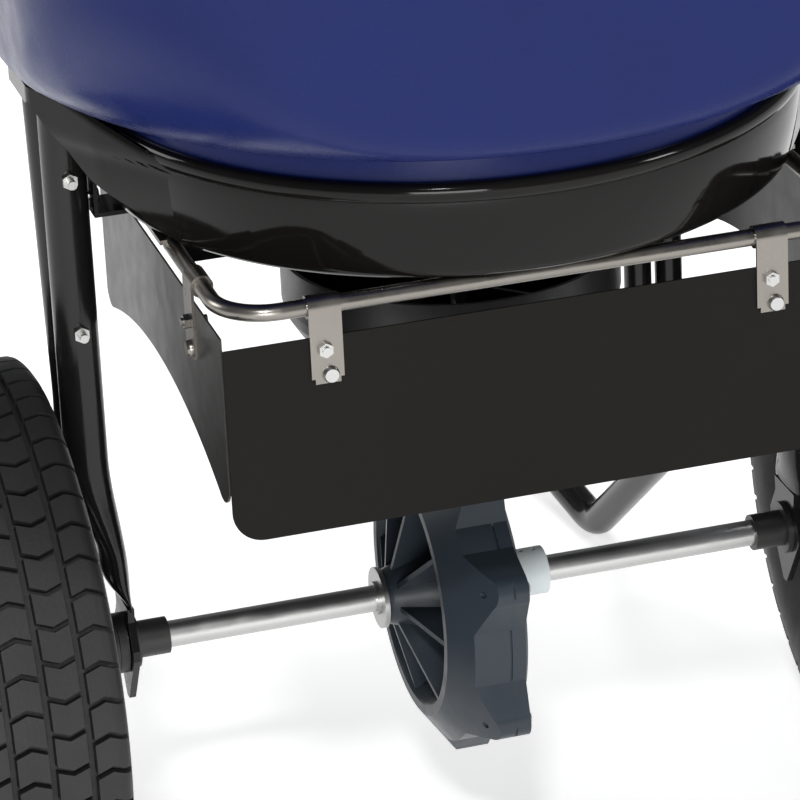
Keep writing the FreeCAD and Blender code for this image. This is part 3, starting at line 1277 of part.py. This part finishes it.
def pieces():
    nodes = {
        "hopper": hopper(), "base_pan": base_pan(),
        "shaft_bush": shaft_bush(), "cross_plate": cross_plate(), "rear_posts": rear_posts(),
        "rear_brace": rear_brace(), "mount_pads": mount_pads(),
        "mount_plates": group([mount_plate(-1), mount_plate(1)]),
        "frame_bolts": solids_of((leg_bolts, brace_bolts, handle_bolts, cross_bolts, rod_bolts,
                                  foot_bolts)),
        "pan_screws": solids_of((hopper_screws, mount_screws, lever_tube_screws)),
        "handle_upper": handle_upper(), "handle_sleeves": handle_sleeves(),
        "grips": group([grip(-1), grip(1)]), "lever_tube": lever_tube(),
        "lever_bracket": lever_bracket(), "rate_quadrant": rate_quadrant(),
        "rate_stop": rate_stop(), "crank_bracket": crank_bracket(),
        "deflector_rod": deflector_rod(), "gearbox_left": gearbox_left(),
        "gearbox_right": gearbox_right(), "gearbox_screws": gearbox_screws(),
        "axle_bushes": group([axle_bush(-1), axle_bush(1)]), "axle": axle(),
        "axle_caps": axle_caps(), "wheel_spacers": wheel_spacers(),
        "axle_washer": axle_washer(), "axle_collar": axle_collar(), "crown_gear": crown_gear(),
        "axle_pins": solids_of((crown_roll_pin, drive_pin)), "pinion": pinion(),
        "spinner_shaft": spinner_shaft(), "spinner": spinner(), "spinner_pin": spinner_pin(),
        "agitator": agitator(), "gate_plate": gate_plate(), "crank": crank(),
        "link_rod": link_rod(), "control_lever": control_lever(), "lever_knob": lever_knob(),
        "front_panel": front_panel(), "front_tabs": front_tabs(),
        "front_tab_screws": front_tab_screws(),
    }
    for name, side in (("left", -1), ("right", 1)):
        nodes["leg_" + name] = leg(side)
        nodes["stand_" + name] = stand(side)
        nodes["tyre_" + name] = tyre(side)
        nodes["rim_" + name] = rim(side)
        nodes["hub_bushes_" + name] = hub_bushes(side)
        nodes["valve_stem_" + name] = valve_stem(side)
        nodes["side_panel_" + name] = side_panel(side)
        nodes["side_tab_" + name] = group([side_tab(side)] + side_tab_screws(side).Solids)
    return nodes


def main():
    os.makedirs("parts", exist_ok=True)
    for name, shape in sorted(pieces().items()):
        shape.translate(vec(0, AXLE_Y, 0))
        shape.exportStep("parts/" + name + ".step")
        print(name, len(shape.Solids), shape.isValid(), round(shape.Volume / 1000.0, 2))


main()
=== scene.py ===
import json
import math

import bpy
from mathutils import Matrix, Vector


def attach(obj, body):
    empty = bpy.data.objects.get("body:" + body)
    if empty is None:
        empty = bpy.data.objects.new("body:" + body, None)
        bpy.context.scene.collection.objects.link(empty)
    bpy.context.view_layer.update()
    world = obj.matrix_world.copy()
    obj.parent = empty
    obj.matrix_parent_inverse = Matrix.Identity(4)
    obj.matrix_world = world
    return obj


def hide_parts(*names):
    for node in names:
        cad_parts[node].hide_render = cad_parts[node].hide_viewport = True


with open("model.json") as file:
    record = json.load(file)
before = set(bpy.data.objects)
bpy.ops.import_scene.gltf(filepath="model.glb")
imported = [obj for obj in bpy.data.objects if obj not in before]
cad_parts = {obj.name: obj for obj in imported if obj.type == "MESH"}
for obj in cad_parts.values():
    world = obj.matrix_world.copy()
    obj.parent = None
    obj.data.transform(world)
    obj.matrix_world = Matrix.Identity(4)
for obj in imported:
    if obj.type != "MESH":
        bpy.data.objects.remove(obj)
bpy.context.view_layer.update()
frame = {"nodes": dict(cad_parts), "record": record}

NODES = frame["nodes"]

# ---- sizes repeated from the design, in metres ----
AXLE_Y = -0.326
AXLE_Z = 0.178
WHEEL_X = 0.302
RING_R = 0.1995
BOWL_START = 0.202
BOWL_Z = 0.533
BOWL_ARC = 0.095
BODY_LOW = (0.256, 0.240, 0.150, 0.520)
BODY_TOP = (0.285, 0.262, 0.125, 0.800)
WALL = 0.0032
PAN_RIM_R = 0.2055
PAN_RIM_Z = 0.514

SHARP_ANGLE = 32.0
HOPPER_COLUMNS = 288
PAN_COLUMNS = 256


# ---- materials ----
def material(name, color, rough, metallic=0.0, coat=0.0, coat_rough=0.08, specular=0.5):
    made = bpy.data.materials.new(name)
    made.use_nodes = True
    shader = made.node_tree.nodes["Principled BSDF"]
    shader.inputs["Base Color"].default_value = (*color, 1.0)
    shader.inputs["Roughness"].default_value = rough
    shader.inputs["Metallic"].default_value = metallic
    shader.inputs["Coat Weight"].default_value = coat
    shader.inputs["Coat Roughness"].default_value = coat_rough
    shader.inputs["Specular IOR Level"].default_value = specular
    return made


def add(made, kind, **values):
    node = made.node_tree.nodes.new(kind)
    for key, value in values.items():
        if key in node.inputs:
            node.inputs[key].default_value = value
        else:
            setattr(node, key, value)
    return node


def noise(made, scale, detail=4.0, stretch=(1.0, 1.0, 1.0)):
    """Noise in object space; stretch scales each axis, for brushed or drawn metal."""
    place = add(made, "ShaderNodeTexCoord")
    mapping = add(made, "ShaderNodeMapping", Scale=stretch)
    texture = add(made, "ShaderNodeTexNoise", Scale=scale, Detail=detail)
    links = made.node_tree.links
    links.new(place.outputs["Object"], mapping.inputs["Vector"])
    links.new(mapping.outputs["Vector"], texture.inputs["Vector"])
    return texture.outputs["Fac"]


def vary_color(made, source, color, amount):
    """Base colour drifts by amount either side of its middle."""
    ramp = add(made, "ShaderNodeValToRGB")
    ramp.color_ramp.elements[0].position = 0.3
    ramp.color_ramp.elements[1].position = 0.7
    ramp.color_ramp.elements[0].color = (*[c * (1.0 - amount) for c in color], 1.0)
    ramp.color_ramp.elements[1].color = (*[min(1.0, c * (1.0 + amount)) for c in color], 1.0)
    made.node_tree.links.new(source, ramp.inputs["Fac"])
    shader = made.node_tree.nodes["Principled BSDF"]
    made.node_tree.links.new(ramp.outputs["Color"], shader.inputs["Base Color"])


def vary_rough(made, source, low, high):
    spread = add(made, "ShaderNodeMapRange")
    spread.inputs["From Min"].default_value = 0.3
    spread.inputs["From Max"].default_value = 0.7
    spread.inputs["To Min"].default_value = low
    spread.inputs["To Max"].default_value = high
    made.node_tree.links.new(source, spread.inputs["Value"])
    shader = made.node_tree.nodes["Principled BSDF"]
    made.node_tree.links.new(spread.outputs["Result"], shader.inputs["Roughness"])


def relief(made, source, strength, distance):
    bump = add(made, "ShaderNodeBump", Strength=strength, Distance=distance)
    made.node_tree.links.new(source, bump.inputs["Height"])
    shader = made.node_tree.nodes["Principled BSDF"]
    made.node_tree.links.new(bump.outputs["Normal"], shader.inputs["Normal"])


def finish_of(name, color, rough, grain, tint=0.08, **more):
    """A full finish: colour drift, roughness drift and fine relief of its own size."""
    low, high = rough
    scale, strength, distance, stretch = grain
    made = material(name, color, (low + high) / 2.0, **more)
    vary_color(made, noise(made, 9.0, 3.0), color, tint)
    vary_rough(made, noise(made, 60.0, 5.0), low, high)
    relief(made, noise(made, scale, 3.0, stretch), strength, distance)
    return made


# How grain is stretched along each axis: not at all, or drawn out round the X axis.
EVEN = (1.0, 1.0, 1.0)
ROUND_X = (1.0, 0.05, 0.05)

LOOKS = {
    "blue_shell": finish_of("blue_polyethylene", (0.0088, 0.0150, 0.0800), (0.24, 0.32),
                            (420.0, 0.012, 0.0006, EVEN), tint=0.06, specular=0.10),
    "black_pan": finish_of("black_moulding", (0.0058, 0.0052, 0.0048), (0.07, 0.11),
                           (240.0, 0.012, 0.0006, EVEN), specular=0.16),
    "powder_coat": finish_of("black_powder_coat", (0.0065, 0.0062, 0.0060), (0.15, 0.23),
                             (520.0, 0.10, 0.0004, EVEN), specular=0.30),
    "deflector_black": finish_of("satin_black_sheet", (0.0055, 0.0050, 0.0042), (0.34, 0.42),
                                 (900.0, 0.12, 0.0003, EVEN), specular=0.10),
    "stainless": finish_of("stainless_steel", (0.22, 0.205, 0.185), (0.24, 0.36),
                           (1500.0, 0.06, 0.0002, (1.0, 0.04, 1.0)), metallic=1.0),
    "zinc": finish_of("bright_zinc", (0.44, 0.44, 0.43), (0.24, 0.36),
                      (700.0, 0.10, 0.0003, EVEN), metallic=1.0),
    "bright_steel": finish_of("ground_steel_bar", (0.55, 0.55, 0.54), (0.28, 0.38),
                              (1600.0, 0.06, 0.0002, ROUND_X), metallic=1.0),
    "gear_case": finish_of("glass_filled_nylon", (0.0210, 0.0285, 0.0370), (0.32, 0.44),
                           (650.0, 0.18, 0.0004, EVEN), specular=0.32),
    "white_plastic": finish_of("white_acetal", (0.66, 0.71, 0.72), (0.30, 0.40),
                               (500.0, 0.08, 0.0003, EVEN), tint=0.03),
    "black_nylon": finish_of("black_nylon", (0.0140, 0.0135, 0.0130), (0.34, 0.46),
                             (600.0, 0.15, 0.0003, EVEN)),
    "gear_nylon": finish_of("natural_nylon", (0.62, 0.58, 0.48), (0.36, 0.48),
                            (500.0, 0.10, 0.0003, EVEN), tint=0.04),
    "tyre_rubber": finish_of("tread_rubber", (0.0150, 0.0150, 0.0152), (0.46, 0.62),
                             (380.0, 0.30, 0.0006, EVEN), tint=0.14, specular=0.32),
    "rim_paint": finish_of("rim_enamel", (0.0120, 0.0120, 0.0125), (0.26, 0.36),
                           (500.0, 0.10, 0.0004, EVEN)),
    "spinner_plastic": finish_of("spinner_polypropylene", (0.0130, 0.0130, 0.0125), (0.34, 0.44),
                                 (450.0, 0.12, 0.0004, EVEN)),
    "foam": finish_of("grip_foam", (0.016, 0.016, 0.016), (0.80, 0.95),
                      (1400.0, 0.60, 0.0008, EVEN), tint=0.20, specular=0.25),
    "pad_rubber": finish_of("pad_rubber", (0.020, 0.020, 0.020), (0.66, 0.80),
                            (500.0, 0.25, 0.0004, EVEN), specular=0.3),
}


# Side panels: the same satin black sheet as deflector_black, with a lighter base colour as painted sheen
# for the light they catch at a grazing angle; the higher specular is real reflection.
SIDE_SHEET_PAINTED_SHEEN = finish_of("side_sheet_painted_sheen", (0.0100, 0.0095, 0.0085), (0.34, 0.42),
                       (900.0, 0.12, 0.0003, EVEN), specular=0.45)


def dress_cad():
    slot_of = {row["node"]: row["material_slot"] for row in frame["record"]["subparts"]}
    for name, node in NODES.items():
        look = SIDE_SHEET_PAINTED_SHEEN if name.startswith("side_panel") else LOOKS[slot_of[name]]
        if not node.material_slots:
            node.data.materials.append(look)
        for place in node.material_slots:
            place.material = look
        node.data.shade_smooth()
        node.data.set_sharp_from_angle(angle=math.radians(SHARP_ANGLE))


dress_cad()


# ---- mesh helpers ----
def piece(name, verts, faces, slot, body, replaced=(), smooth=SHARP_ANGLE):
    """A new mesh that rides on a body and stands in for the nodes it replaces."""
    mesh = bpy.data.meshes.new(name)
    mesh.from_pydata(verts, [], faces)
    mesh.validate()
    mesh.update()
    mesh.shade_smooth()
    mesh.set_sharp_from_angle(angle=math.radians(smooth))
    made = bpy.data.objects.new(name, mesh)
    bpy.context.scene.collection.objects.link(made)
    mesh.materials.append(LOOKS[slot])
    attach(made, body)
    if replaced:
        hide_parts(*replaced)
    return made


def loops_to_faces(rows, count, close_rows=True):
    """Quads between closed rings of count points; the last row joins the first if asked."""
    faces = []
    last = rows if close_rows else rows - 1
    for row in range(last):
        nxt = (row + 1) % rows
        for i in range(count):
            j = (i + 1) % count
            faces.append((row * count + i, row * count + j, nxt * count + j, nxt * count + i))
    return faces


def arc_points(centre, radius, start, end, steps):
    """Points of an arc in a (radius, height) half plane, angles in degrees."""
    out = []
    for i in range(steps + 1):
        turn = math.radians(start + (end - start) * i / steps)
        out.append((centre[0] + radius * math.cos(turn), centre[1] + radius * math.sin(turn)))
    return out


# ---- hopper ----
def corner_reach(turn, hx, hy, r):
    """Distance from the middle to a rounded rectangle's edge in one direction."""
    c, s = abs(math.cos(turn)), abs(math.sin(turn))
    if c > 1e-9 and hx / c * s <= hy - r:
        return hx / c
    if s > 1e-9 and hy / s * c <= hx - r:
        return hy / s
    px, py = hx - r, hy - r
    along = px * c + py * s
    return along + math.sqrt(along * along - (px * px + py * py - r * r))


def flare(turn, z):
    part = (z - BODY_LOW[3]) / (BODY_TOP[3] - BODY_LOW[3])
    hx, hy, r = [low + (top - low) * part for low, top in zip(BODY_LOW[:3], BODY_TOP[:3])]
    return corner_reach(turn, hx, hy, r)


def bowl_height(rho):
    reach = BOWL_ARC * 0.93
    out = max(0.0, rho - BOWL_START)
    if out <= reach:
        return BOWL_Z + BOWL_ARC - math.sqrt(BOWL_ARC ** 2 - out ** 2)
    top = BOWL_Z + BOWL_ARC - math.sqrt(BOWL_ARC ** 2 - reach ** 2)
    return top + (out - reach) * 0.25 / (0.420 - BOWL_START - reach)


def crease(turn):
    """Where the bowl meets the flared side, as (radius, height)."""
    low, high = BOWL_START, 0.330
    for _ in range(40):
        middle = (low + high) / 2.0
        if flare(turn, bowl_height(middle)) > middle:
            low = middle
        else:
            high = middle
    return low, bowl_height(low)


def shell_profile(turn, inset, top_z):
    """Outer (inset 0) or inner profile of the body in one direction, from the bowl upward."""
    rho_c, z_c = crease(turn)
    soft = 0.011
    out = []
    bowl_steps, side_steps, round_steps = 12, 9, 8
    stop = rho_c - soft
    for i in range(bowl_steps + 1):
        rho = BOWL_START + (stop - BOWL_START) * i / bowl_steps
        out.append((rho, bowl_height(rho)))
    z_up = z_c + soft * 1.3
    first, last = out[-1], (flare(turn, z_up), z_up)
    for i in range(1, round_steps + 1):
        t = i / round_steps
        a, b, c = (1 - t) ** 2, 2 * t * (1 - t), t * t
        out.append((a * first[0] + b * rho_c + c * last[0], a * first[1] + b * z_c + c * last[1]))
    for i in range(1, side_steps + 1):
        z = z_up + (top_z - z_up) * i / side_steps
        out.append((flare(turn, z), z))
    if inset:
        moved = []
        for i, (rho, z) in enumerate(out):
            before = out[max(i - 1, 0)]
            after = out[min(i + 1, len(out) - 1)]
            dr, dz = after[0] - before[0], after[1] - before[1]
            span = math.hypot(dr, dz)
            moved.append((rho - inset * dz / span, z + inset * dr / span))
        out = moved
    return out


def hopper_profile(turn):
    """Ring at the bottom, outer skin, rolled lip, inner skin and throat, as one closed loop."""
    ring = [(RING_R - 0.0067, 0.4862), (RING_R - 0.0060, 0.4860), (RING_R - 0.0012, 0.4860),
            (RING_R - 0.0002, 0.4866), (RING_R, 0.4880), (RING_R, 0.5270), (RING_R - 0.0004, 0.5284),
            (RING_R - 0.0016, 0.5290), (RING_R - 0.0033, 0.5293), (RING_R - 0.0035, 0.5300),
            (RING_R - 0.0033, 0.5307), (RING_R + 0.0002, 0.5309), (RING_R + 0.0013, 0.5316),
            (RING_R + 0.0013, 0.5325), (RING_R + 0.0002, 0.5331), (RING_R + 0.0008, 0.5330)]
    outer = shell_profile(turn, 0.0, 0.7870)
    edge = flare(turn, 0.800)
    lip = [(edge + 0.0004, 0.7882), (edge + 0.0070, 0.7882), (edge + 0.0084, 0.7888),
           (edge + 0.0090, 0.7902), (edge + 0.0090, 0.7965), (edge + 0.0082, 0.7986),
           (edge + 0.0064, 0.7998), (edge + 0.0045, 0.8000), (edge - 0.0008, 0.8000),
           (edge - 0.0025, 0.7994), (edge - 0.0032, 0.7978)]
    inner = list(reversed(shell_profile(turn, WALL, 0.7900)))
    throat = [(RING_R - 0.0050, 0.5362), (RING_R - 0.0064, 0.5352), (RING_R - 0.0067, 0.5335)]
    return ring + outer + lip + inner + throat


def revolve_varied(profile, count):
    """Closed surface from a profile that may change with direction."""
    columns = [profile(2.0 * math.pi * i / count) for i in range(count)]
    rows = len(columns[0])
    verts = []
    for row in range(rows):
        for i in range(count):
            turn = 2.0 * math.pi * i / count
            rho, z = columns[i][row]
            verts.append((rho * math.cos(turn), AXLE_Y + rho * math.sin(turn), z))
    return verts, loops_to_faces(rows, count)


def make_hopper():
    verts, faces = revolve_varied(hopper_profile, HOPPER_COLUMNS)
    piece("hopper_shell", verts, faces, "blue_shell", "frame", ["hopper"], smooth=50.0)


make_hopper()


# ---- pan ----
BEAD_INSET = 0.0022
BEAD_HALF_WIDTH = 0.0037
BEAD_HALF_HEIGHT = 0.0055


def pan_profile(_turn):
    """Rim bead, wall, floor and inner skin; the same in every direction."""
    r, z = PAN_RIM_R, PAN_RIM_Z
    bead = [(r - BEAD_INSET + BEAD_HALF_WIDTH * x, z - BEAD_HALF_HEIGHT + BEAD_HALF_HEIGHT * y)
            for x, y in arc_points((0.0, 0.0), 1.0, 100.0, -80.0, 18)]
    wall = [(r - 0.0012, 0.5000), (r - 0.0013, 0.4960), (r - 0.0016, 0.4900), (r - 0.0025, 0.4820),
            (r - 0.0038, 0.4740), (r - 0.0050, 0.4680), (r - 0.0060, 0.4630), (r - 0.0068, 0.4600),
            (r - 0.0090, 0.4576), (r - 0.0125, 0.4568)]
    floor = [(0.1700, 0.4546), (0.1500, 0.4530), (0.1000, 0.4524), (0.0600, 0.4520),
             (0.0130, 0.4520), (0.0130, 0.4546), (0.0600, 0.4546), (0.1000, 0.4550),
             (0.1500, 0.4556), (0.1700, 0.4575), (r - 0.0145, 0.4610), (r - 0.0110, 0.4680),
             (r - 0.0075, 0.4840), (r - 0.0060, 0.4862), (r - 0.0055, 0.5080)]
    top = [(r - 0.0054, z - 0.0012), (r - 0.0048, z - 0.0003)]
    return bead + wall + floor + top


WING_ANGLE = math.radians(-30.0)
WING_T = 0.0028
WING_START = 0.012
WING_END = 0.119
WING_STEPS = 40
WING_LEVELS = 14
TAIL_STEP = 0.0060
TAIL_STEPS = 8
# Height and distance out of the wing's outer skin, which leans as the pan's wall does.
WALL_RUN = [(0.4570, 0.1985), (0.4620, 0.1996), (0.4680, 0.2005), (0.4740, 0.2017),
            (0.4820, 0.2030), (0.4900, 0.2039), (0.5000, 0.2043), (0.5060, 0.2064),
            (0.5100, 0.2068), (0.5310, 0.2069)]


def wing_edges():
    """Lower and upper edge heights along the moulded side wall, by distance from its start."""
    low = [(WING_START, 0.4570), (0.022, 0.4610), (0.040, 0.4700), (0.061, 0.4775), (0.075, 0.4840),
           (0.091, 0.4975), (0.107, 0.5110), (WING_END, 0.5220)]
    high = [(WING_START, 0.5086), (0.026, 0.5105), (0.040, 0.5150), (0.061, 0.5215), (0.075, 0.5260),
            (0.091, 0.5300), (0.107, 0.5306), (WING_END, 0.5310)]
    return low, high


def value_at(run, place):
    """Straight-line reading of a run of (place, value) pairs."""
    for (s0, z0), (s1, z1) in zip(run, run[1:]):
        if place <= s1:
            return z0 + (z1 - z0) * (place - s0) / (s1 - s0)
    return run[-1][1]


def wing_offset(reach):
    """Starts just inside the pan's wall, then stands off far enough to clear the tubes."""
    hidden, gain = -0.0012, 0.0046
    ramp_from, ramp_length = 0.008, 0.060
    if reach < ramp_from:
        return hidden
    return hidden + gain * min(1.0, (reach - ramp_from) / ramp_length)


def make_wing(side):
    """Solid wing: rounded along its top, running back beside the tube ends."""
    low, high = wing_edges()
    out = Vector((math.cos(WING_ANGLE), math.sin(WING_ANGLE)))
    along = Vector((-math.sin(WING_ANGLE), math.cos(WING_ANGLE)))
    path = []
    for i in range(WING_STEPS + 1):
        reach = WING_END * i / WING_STEPS
        seen = max(reach, WING_START)
        path.append((along * reach + out * wing_offset(reach), value_at(low, seen), value_at(high, seen)))
    corner, end_low, end_high = path[-1]
    tail_low = min(end_high - 0.012, end_low - 0.003)
    for i in range(1, TAIL_STEPS + 1):
        path.append((corner + Vector((0.0, TAIL_STEP * i)), tail_low, end_high))
    rows = []
    for offset, bottom, top in path:
        ring = []
        for k in range(WING_LEVELS + 1):
            z = bottom + (top - bottom) * k / WING_LEVELS
            round_in = 0.0012 if k == WING_LEVELS else 0.0
            ring.append((value_at(WALL_RUN, z) - round_in, z))
        for k in range(WING_LEVELS, -1, -1):
            z = bottom + (top - bottom) * k / WING_LEVELS
            round_down = 0.0008 if k == WING_LEVELS else 0.0
            ring.append((value_at(WALL_RUN, z) - WING_T, z - round_down))
        rows.append([(side * (offset.x + out.x * d), AXLE_Y + offset.y + out.y * d, z)
                     for d, z in ring])
    count = len(rows[0])
    verts = [point for row in rows for point in row]
    faces = loops_to_faces(len(rows), count, close_rows=False)
    faces.append(tuple(range(count)))
    faces.append(tuple(range(count * (len(rows) - 1), count * len(rows)))[::-1])
    name = "pan_wing_left" if side < 0 else "pan_wing_right"
    piece(name, verts, faces, "black_pan", "frame", smooth=40.0)


def make_pan():
    verts, faces = revolve_varied(pan_profile, PAN_COLUMNS)
    piece("pan_shell", verts, faces, "black_pan", "frame", ["base_pan"], smooth=48.0)
    make_wing(-1)
    make_wing(1)


make_pan()


# ---- tyres ----
TREAD_COLUMNS = 5
TREAD_PITCHES = 55
GROOVE = 0.0052
TREAD_HALF = 0.0555
FLAT_HALF = 0.0490
TREAD_R = 0.1779
BLOCK_SHIFT = 0.20


def tyre_outline():
    """(x, radius) of the tyre's outer skin from one bead up to the shoulder."""
    return [(0.0305, 0.1010), (0.0310, 0.1090), (0.0380, 0.1150), (0.0480, 0.1230),
            (0.0550, 0.1310), (0.0585, 0.1390), (0.0596, 0.1460), (0.0592, 0.1540),
            (0.0575, 0.1610), (0.0564, 0.1645)]


def tread_radius(x):
    """Radius of the nearly flat tread, with a small round shoulder at each edge."""
    crown, drop, bend = 0.0012, 0.0058, 2.2
    shoulder = max(0.0, abs(x) - FLAT_HALF) / (TREAD_HALF - FLAT_HALF)
    return TREAD_R - crown * (x / FLAT_HALF) ** 2 - drop * shoulder ** bend


def make_tyre_mesh():
    """Rings from bead to bead; blocks of neighbouring columns are staggered by half a pitch."""
    half_steps = (0.0, 0.12, 0.17, 0.34, 0.50, 0.66, 0.83, 0.88)
    ring_parts = []
    for pitch in range(TREAD_PITCHES):
        for half in range(2):
            for index, step in enumerate(half_steps):
                ring_parts.append((pitch + 0.5 * (half + step), half, index))
    column = 2.0 * TREAD_HALF / TREAD_COLUMNS
    col_steps = (0.0, 0.075, 0.100, 0.18, 0.28, 0.39, 0.50, 0.61, 0.72, 0.82, 0.90, 0.925)
    across = []
    for col in range(TREAD_COLUMNS):
        for index, step in enumerate(col_steps):
            across.append((col, index, -TREAD_HALF + column * (col + step)))
    across.append((TREAD_COLUMNS - 1, len(col_steps), TREAD_HALF))
    side = tyre_outline()
    verts, count = [], len(ring_parts)
    pitch_angle = 2.0 * math.pi / TREAD_PITCHES
    last = len(col_steps)

    def ring_row(radius_of, x, shift):
        for place, half, index in ring_parts:
            turn = (place + shift) * pitch_angle
            radius = radius_of(half, index)
            verts.append((x, radius * math.cos(turn), radius * math.sin(turn)))

    def plain_row(x, radius):
        ring_row(lambda _half, _place: radius, x, 0.0)

    for x, radius in side:
        plain_row(-x, radius)
    for col, index, x in across:
        step = col_steps[index] if index < last else 1.0
        peak = 1.0 - abs(2.0 * step - 1.0)
        shift = BLOCK_SHIFT * peak * (1.0 if col % 2 else -1.0)
        edge = index in (0, 1, last - 1, last)
        outer_edge = (col == 0 and index <= 1) or (col == TREAD_COLUMNS - 1 and index >= last - 1)
        level = tread_radius(x)

        def radius_of(half, place, edge=edge, outer=outer_edge, col=col, level=level):
            groove = half == col % 2 and place in (0, 1)
            groove = groove or (half == 1 - col % 2 and place == 7)
            if outer:
                return level - (GROOVE if groove else 0.0)
            return level - (GROOVE if (groove or edge) else 0.0)

        ring_row(radius_of, x, shift)
    for x, radius in reversed(side):
        plain_row(x, radius)
    inner = [(0.0225, 0.1010), (0.0235, 0.1120), (0.0480, 0.1400), (0.0440, 0.1560), (0.0, 0.1640),
             (-0.0440, 0.1560), (-0.0480, 0.1400), (-0.0235, 0.1120), (-0.0225, 0.1010)]
    for x, radius in inner:
        plain_row(x, radius)
    return verts, loops_to_faces(len(verts) // count, count)


def make_tyres():
    verts, faces = make_tyre_mesh()
    for name, sign, body in (("left", -1, "drive_axle"), ("right", 1, "free_wheel")):
        placed = [(x + sign * WHEEL_X, y + AXLE_Y, z + AXLE_Z) for x, y, z in verts]
        piece("tyre_tread_" + name, placed, faces, "tyre_rubber", body, ["tyre_" + name], smooth=40.0)


make_tyres()


# ---- stage, light and camera ----
FLOOR_HALF = 60.0
FLOOR_GLOW = 0.60
SKY_STRENGTH = 0.16
CAMERA_PLACE = (-0.7088, -2.7168, 1.4069)
CAMERA_TARGET = (-0.0342, -0.326, 0.3037)
CAMERA_ROLL = -2.75
CAMERA_LENS = 208.6
CAMERA_SENSOR = 36.0
# name, place, width, height, power
SOFT_BOXES = [
    ("key_box", (-1.1, -3.4, 3.0), 0.42, 0.24, 66.0),
    ("fill_box", (2.6, -2.4, 1.6), 0.6, 0.6, 24.0),
    ("front_box", (-1.0, -3.8, 0.7), 1.4, 0.9, 52.0),
    ("top_box", (0.2, -0.4, 3.6), 2.0, 2.0, 62.0),
    ("rim_box", (-3.0, 1.2, 1.6), 1.2, 1.2, 32.0),
]


def make_floor():
    size = FLOOR_HALF
    mesh = bpy.data.meshes.new("floor")
    mesh.from_pydata([(-size, -size, 0), (size, -size, 0), (size, size, 0), (-size, size, 0)], [],
                     [(0, 1, 2, 3)])
    floor = bpy.data.objects.new("floor", mesh)
    bpy.context.scene.collection.objects.link(floor)
    pale = material("pale_floor", (0.90, 0.90, 0.90), 0.85, specular=0.0)
    shader = pale.node_tree.nodes["Principled BSDF"]
    shader.inputs["Emission Color"].default_value = (1.0, 1.0, 1.0, 1.0)
    shader.inputs["Emission Strength"].default_value = FLOOR_GLOW
    mesh.materials.append(pale)


def area_light(name, place, aim, width, height, power):
    data = bpy.data.lights.new(name, "AREA")
    data.shape = "RECTANGLE"
    data.size = width
    data.size_y = height
    data.energy = power
    lamp = bpy.data.objects.new(name, data)
    lamp.location = place
    lamp.rotation_euler = (Vector(aim) - Vector(place)).to_track_quat("-Z", "Y").to_euler()
    bpy.context.scene.collection.objects.link(lamp)


def make_light():
    world = bpy.data.worlds.new("studio")
    world.use_nodes = True
    sky = world.node_tree.nodes["Background"]
    sky.inputs["Color"].default_value = (0.96, 0.98, 1.0, 1.0)
    sky.inputs["Strength"].default_value = SKY_STRENGTH
    bpy.context.scene.world = world
    middle = (0.0, AXLE_Y, 0.45)
    for name, place, width, height, power in SOFT_BOXES:
        area_light(name, place, middle, width, height, power)


def make_camera():
    place = Vector(CAMERA_PLACE)
    target = Vector(CAMERA_TARGET)
    roll = math.radians(CAMERA_ROLL)
    look = (target - place).normalized()
    flat_right = look.cross(Vector((0, 0, 1))).normalized()
    flat_up = flat_right.cross(look)
    right = flat_right * math.cos(roll) + flat_up * math.sin(roll)
    up = flat_up * math.cos(roll) - flat_right * math.sin(roll)
    turn = Matrix((right, up, -look)).transposed()
    data = bpy.data.cameras.new("camera")
    data.lens = CAMERA_LENS
    data.sensor_width = CAMERA_SENSOR
    camera = bpy.data.objects.new("camera", data)
    camera.matrix_world = Matrix.Translation(place) @ turn.to_4x4()
    bpy.context.scene.collection.objects.link(camera)
    bpy.context.scene.camera = camera


make_floor()
make_light()
make_camera()
bpy.context.scene.view_settings.view_transform = "Standard"
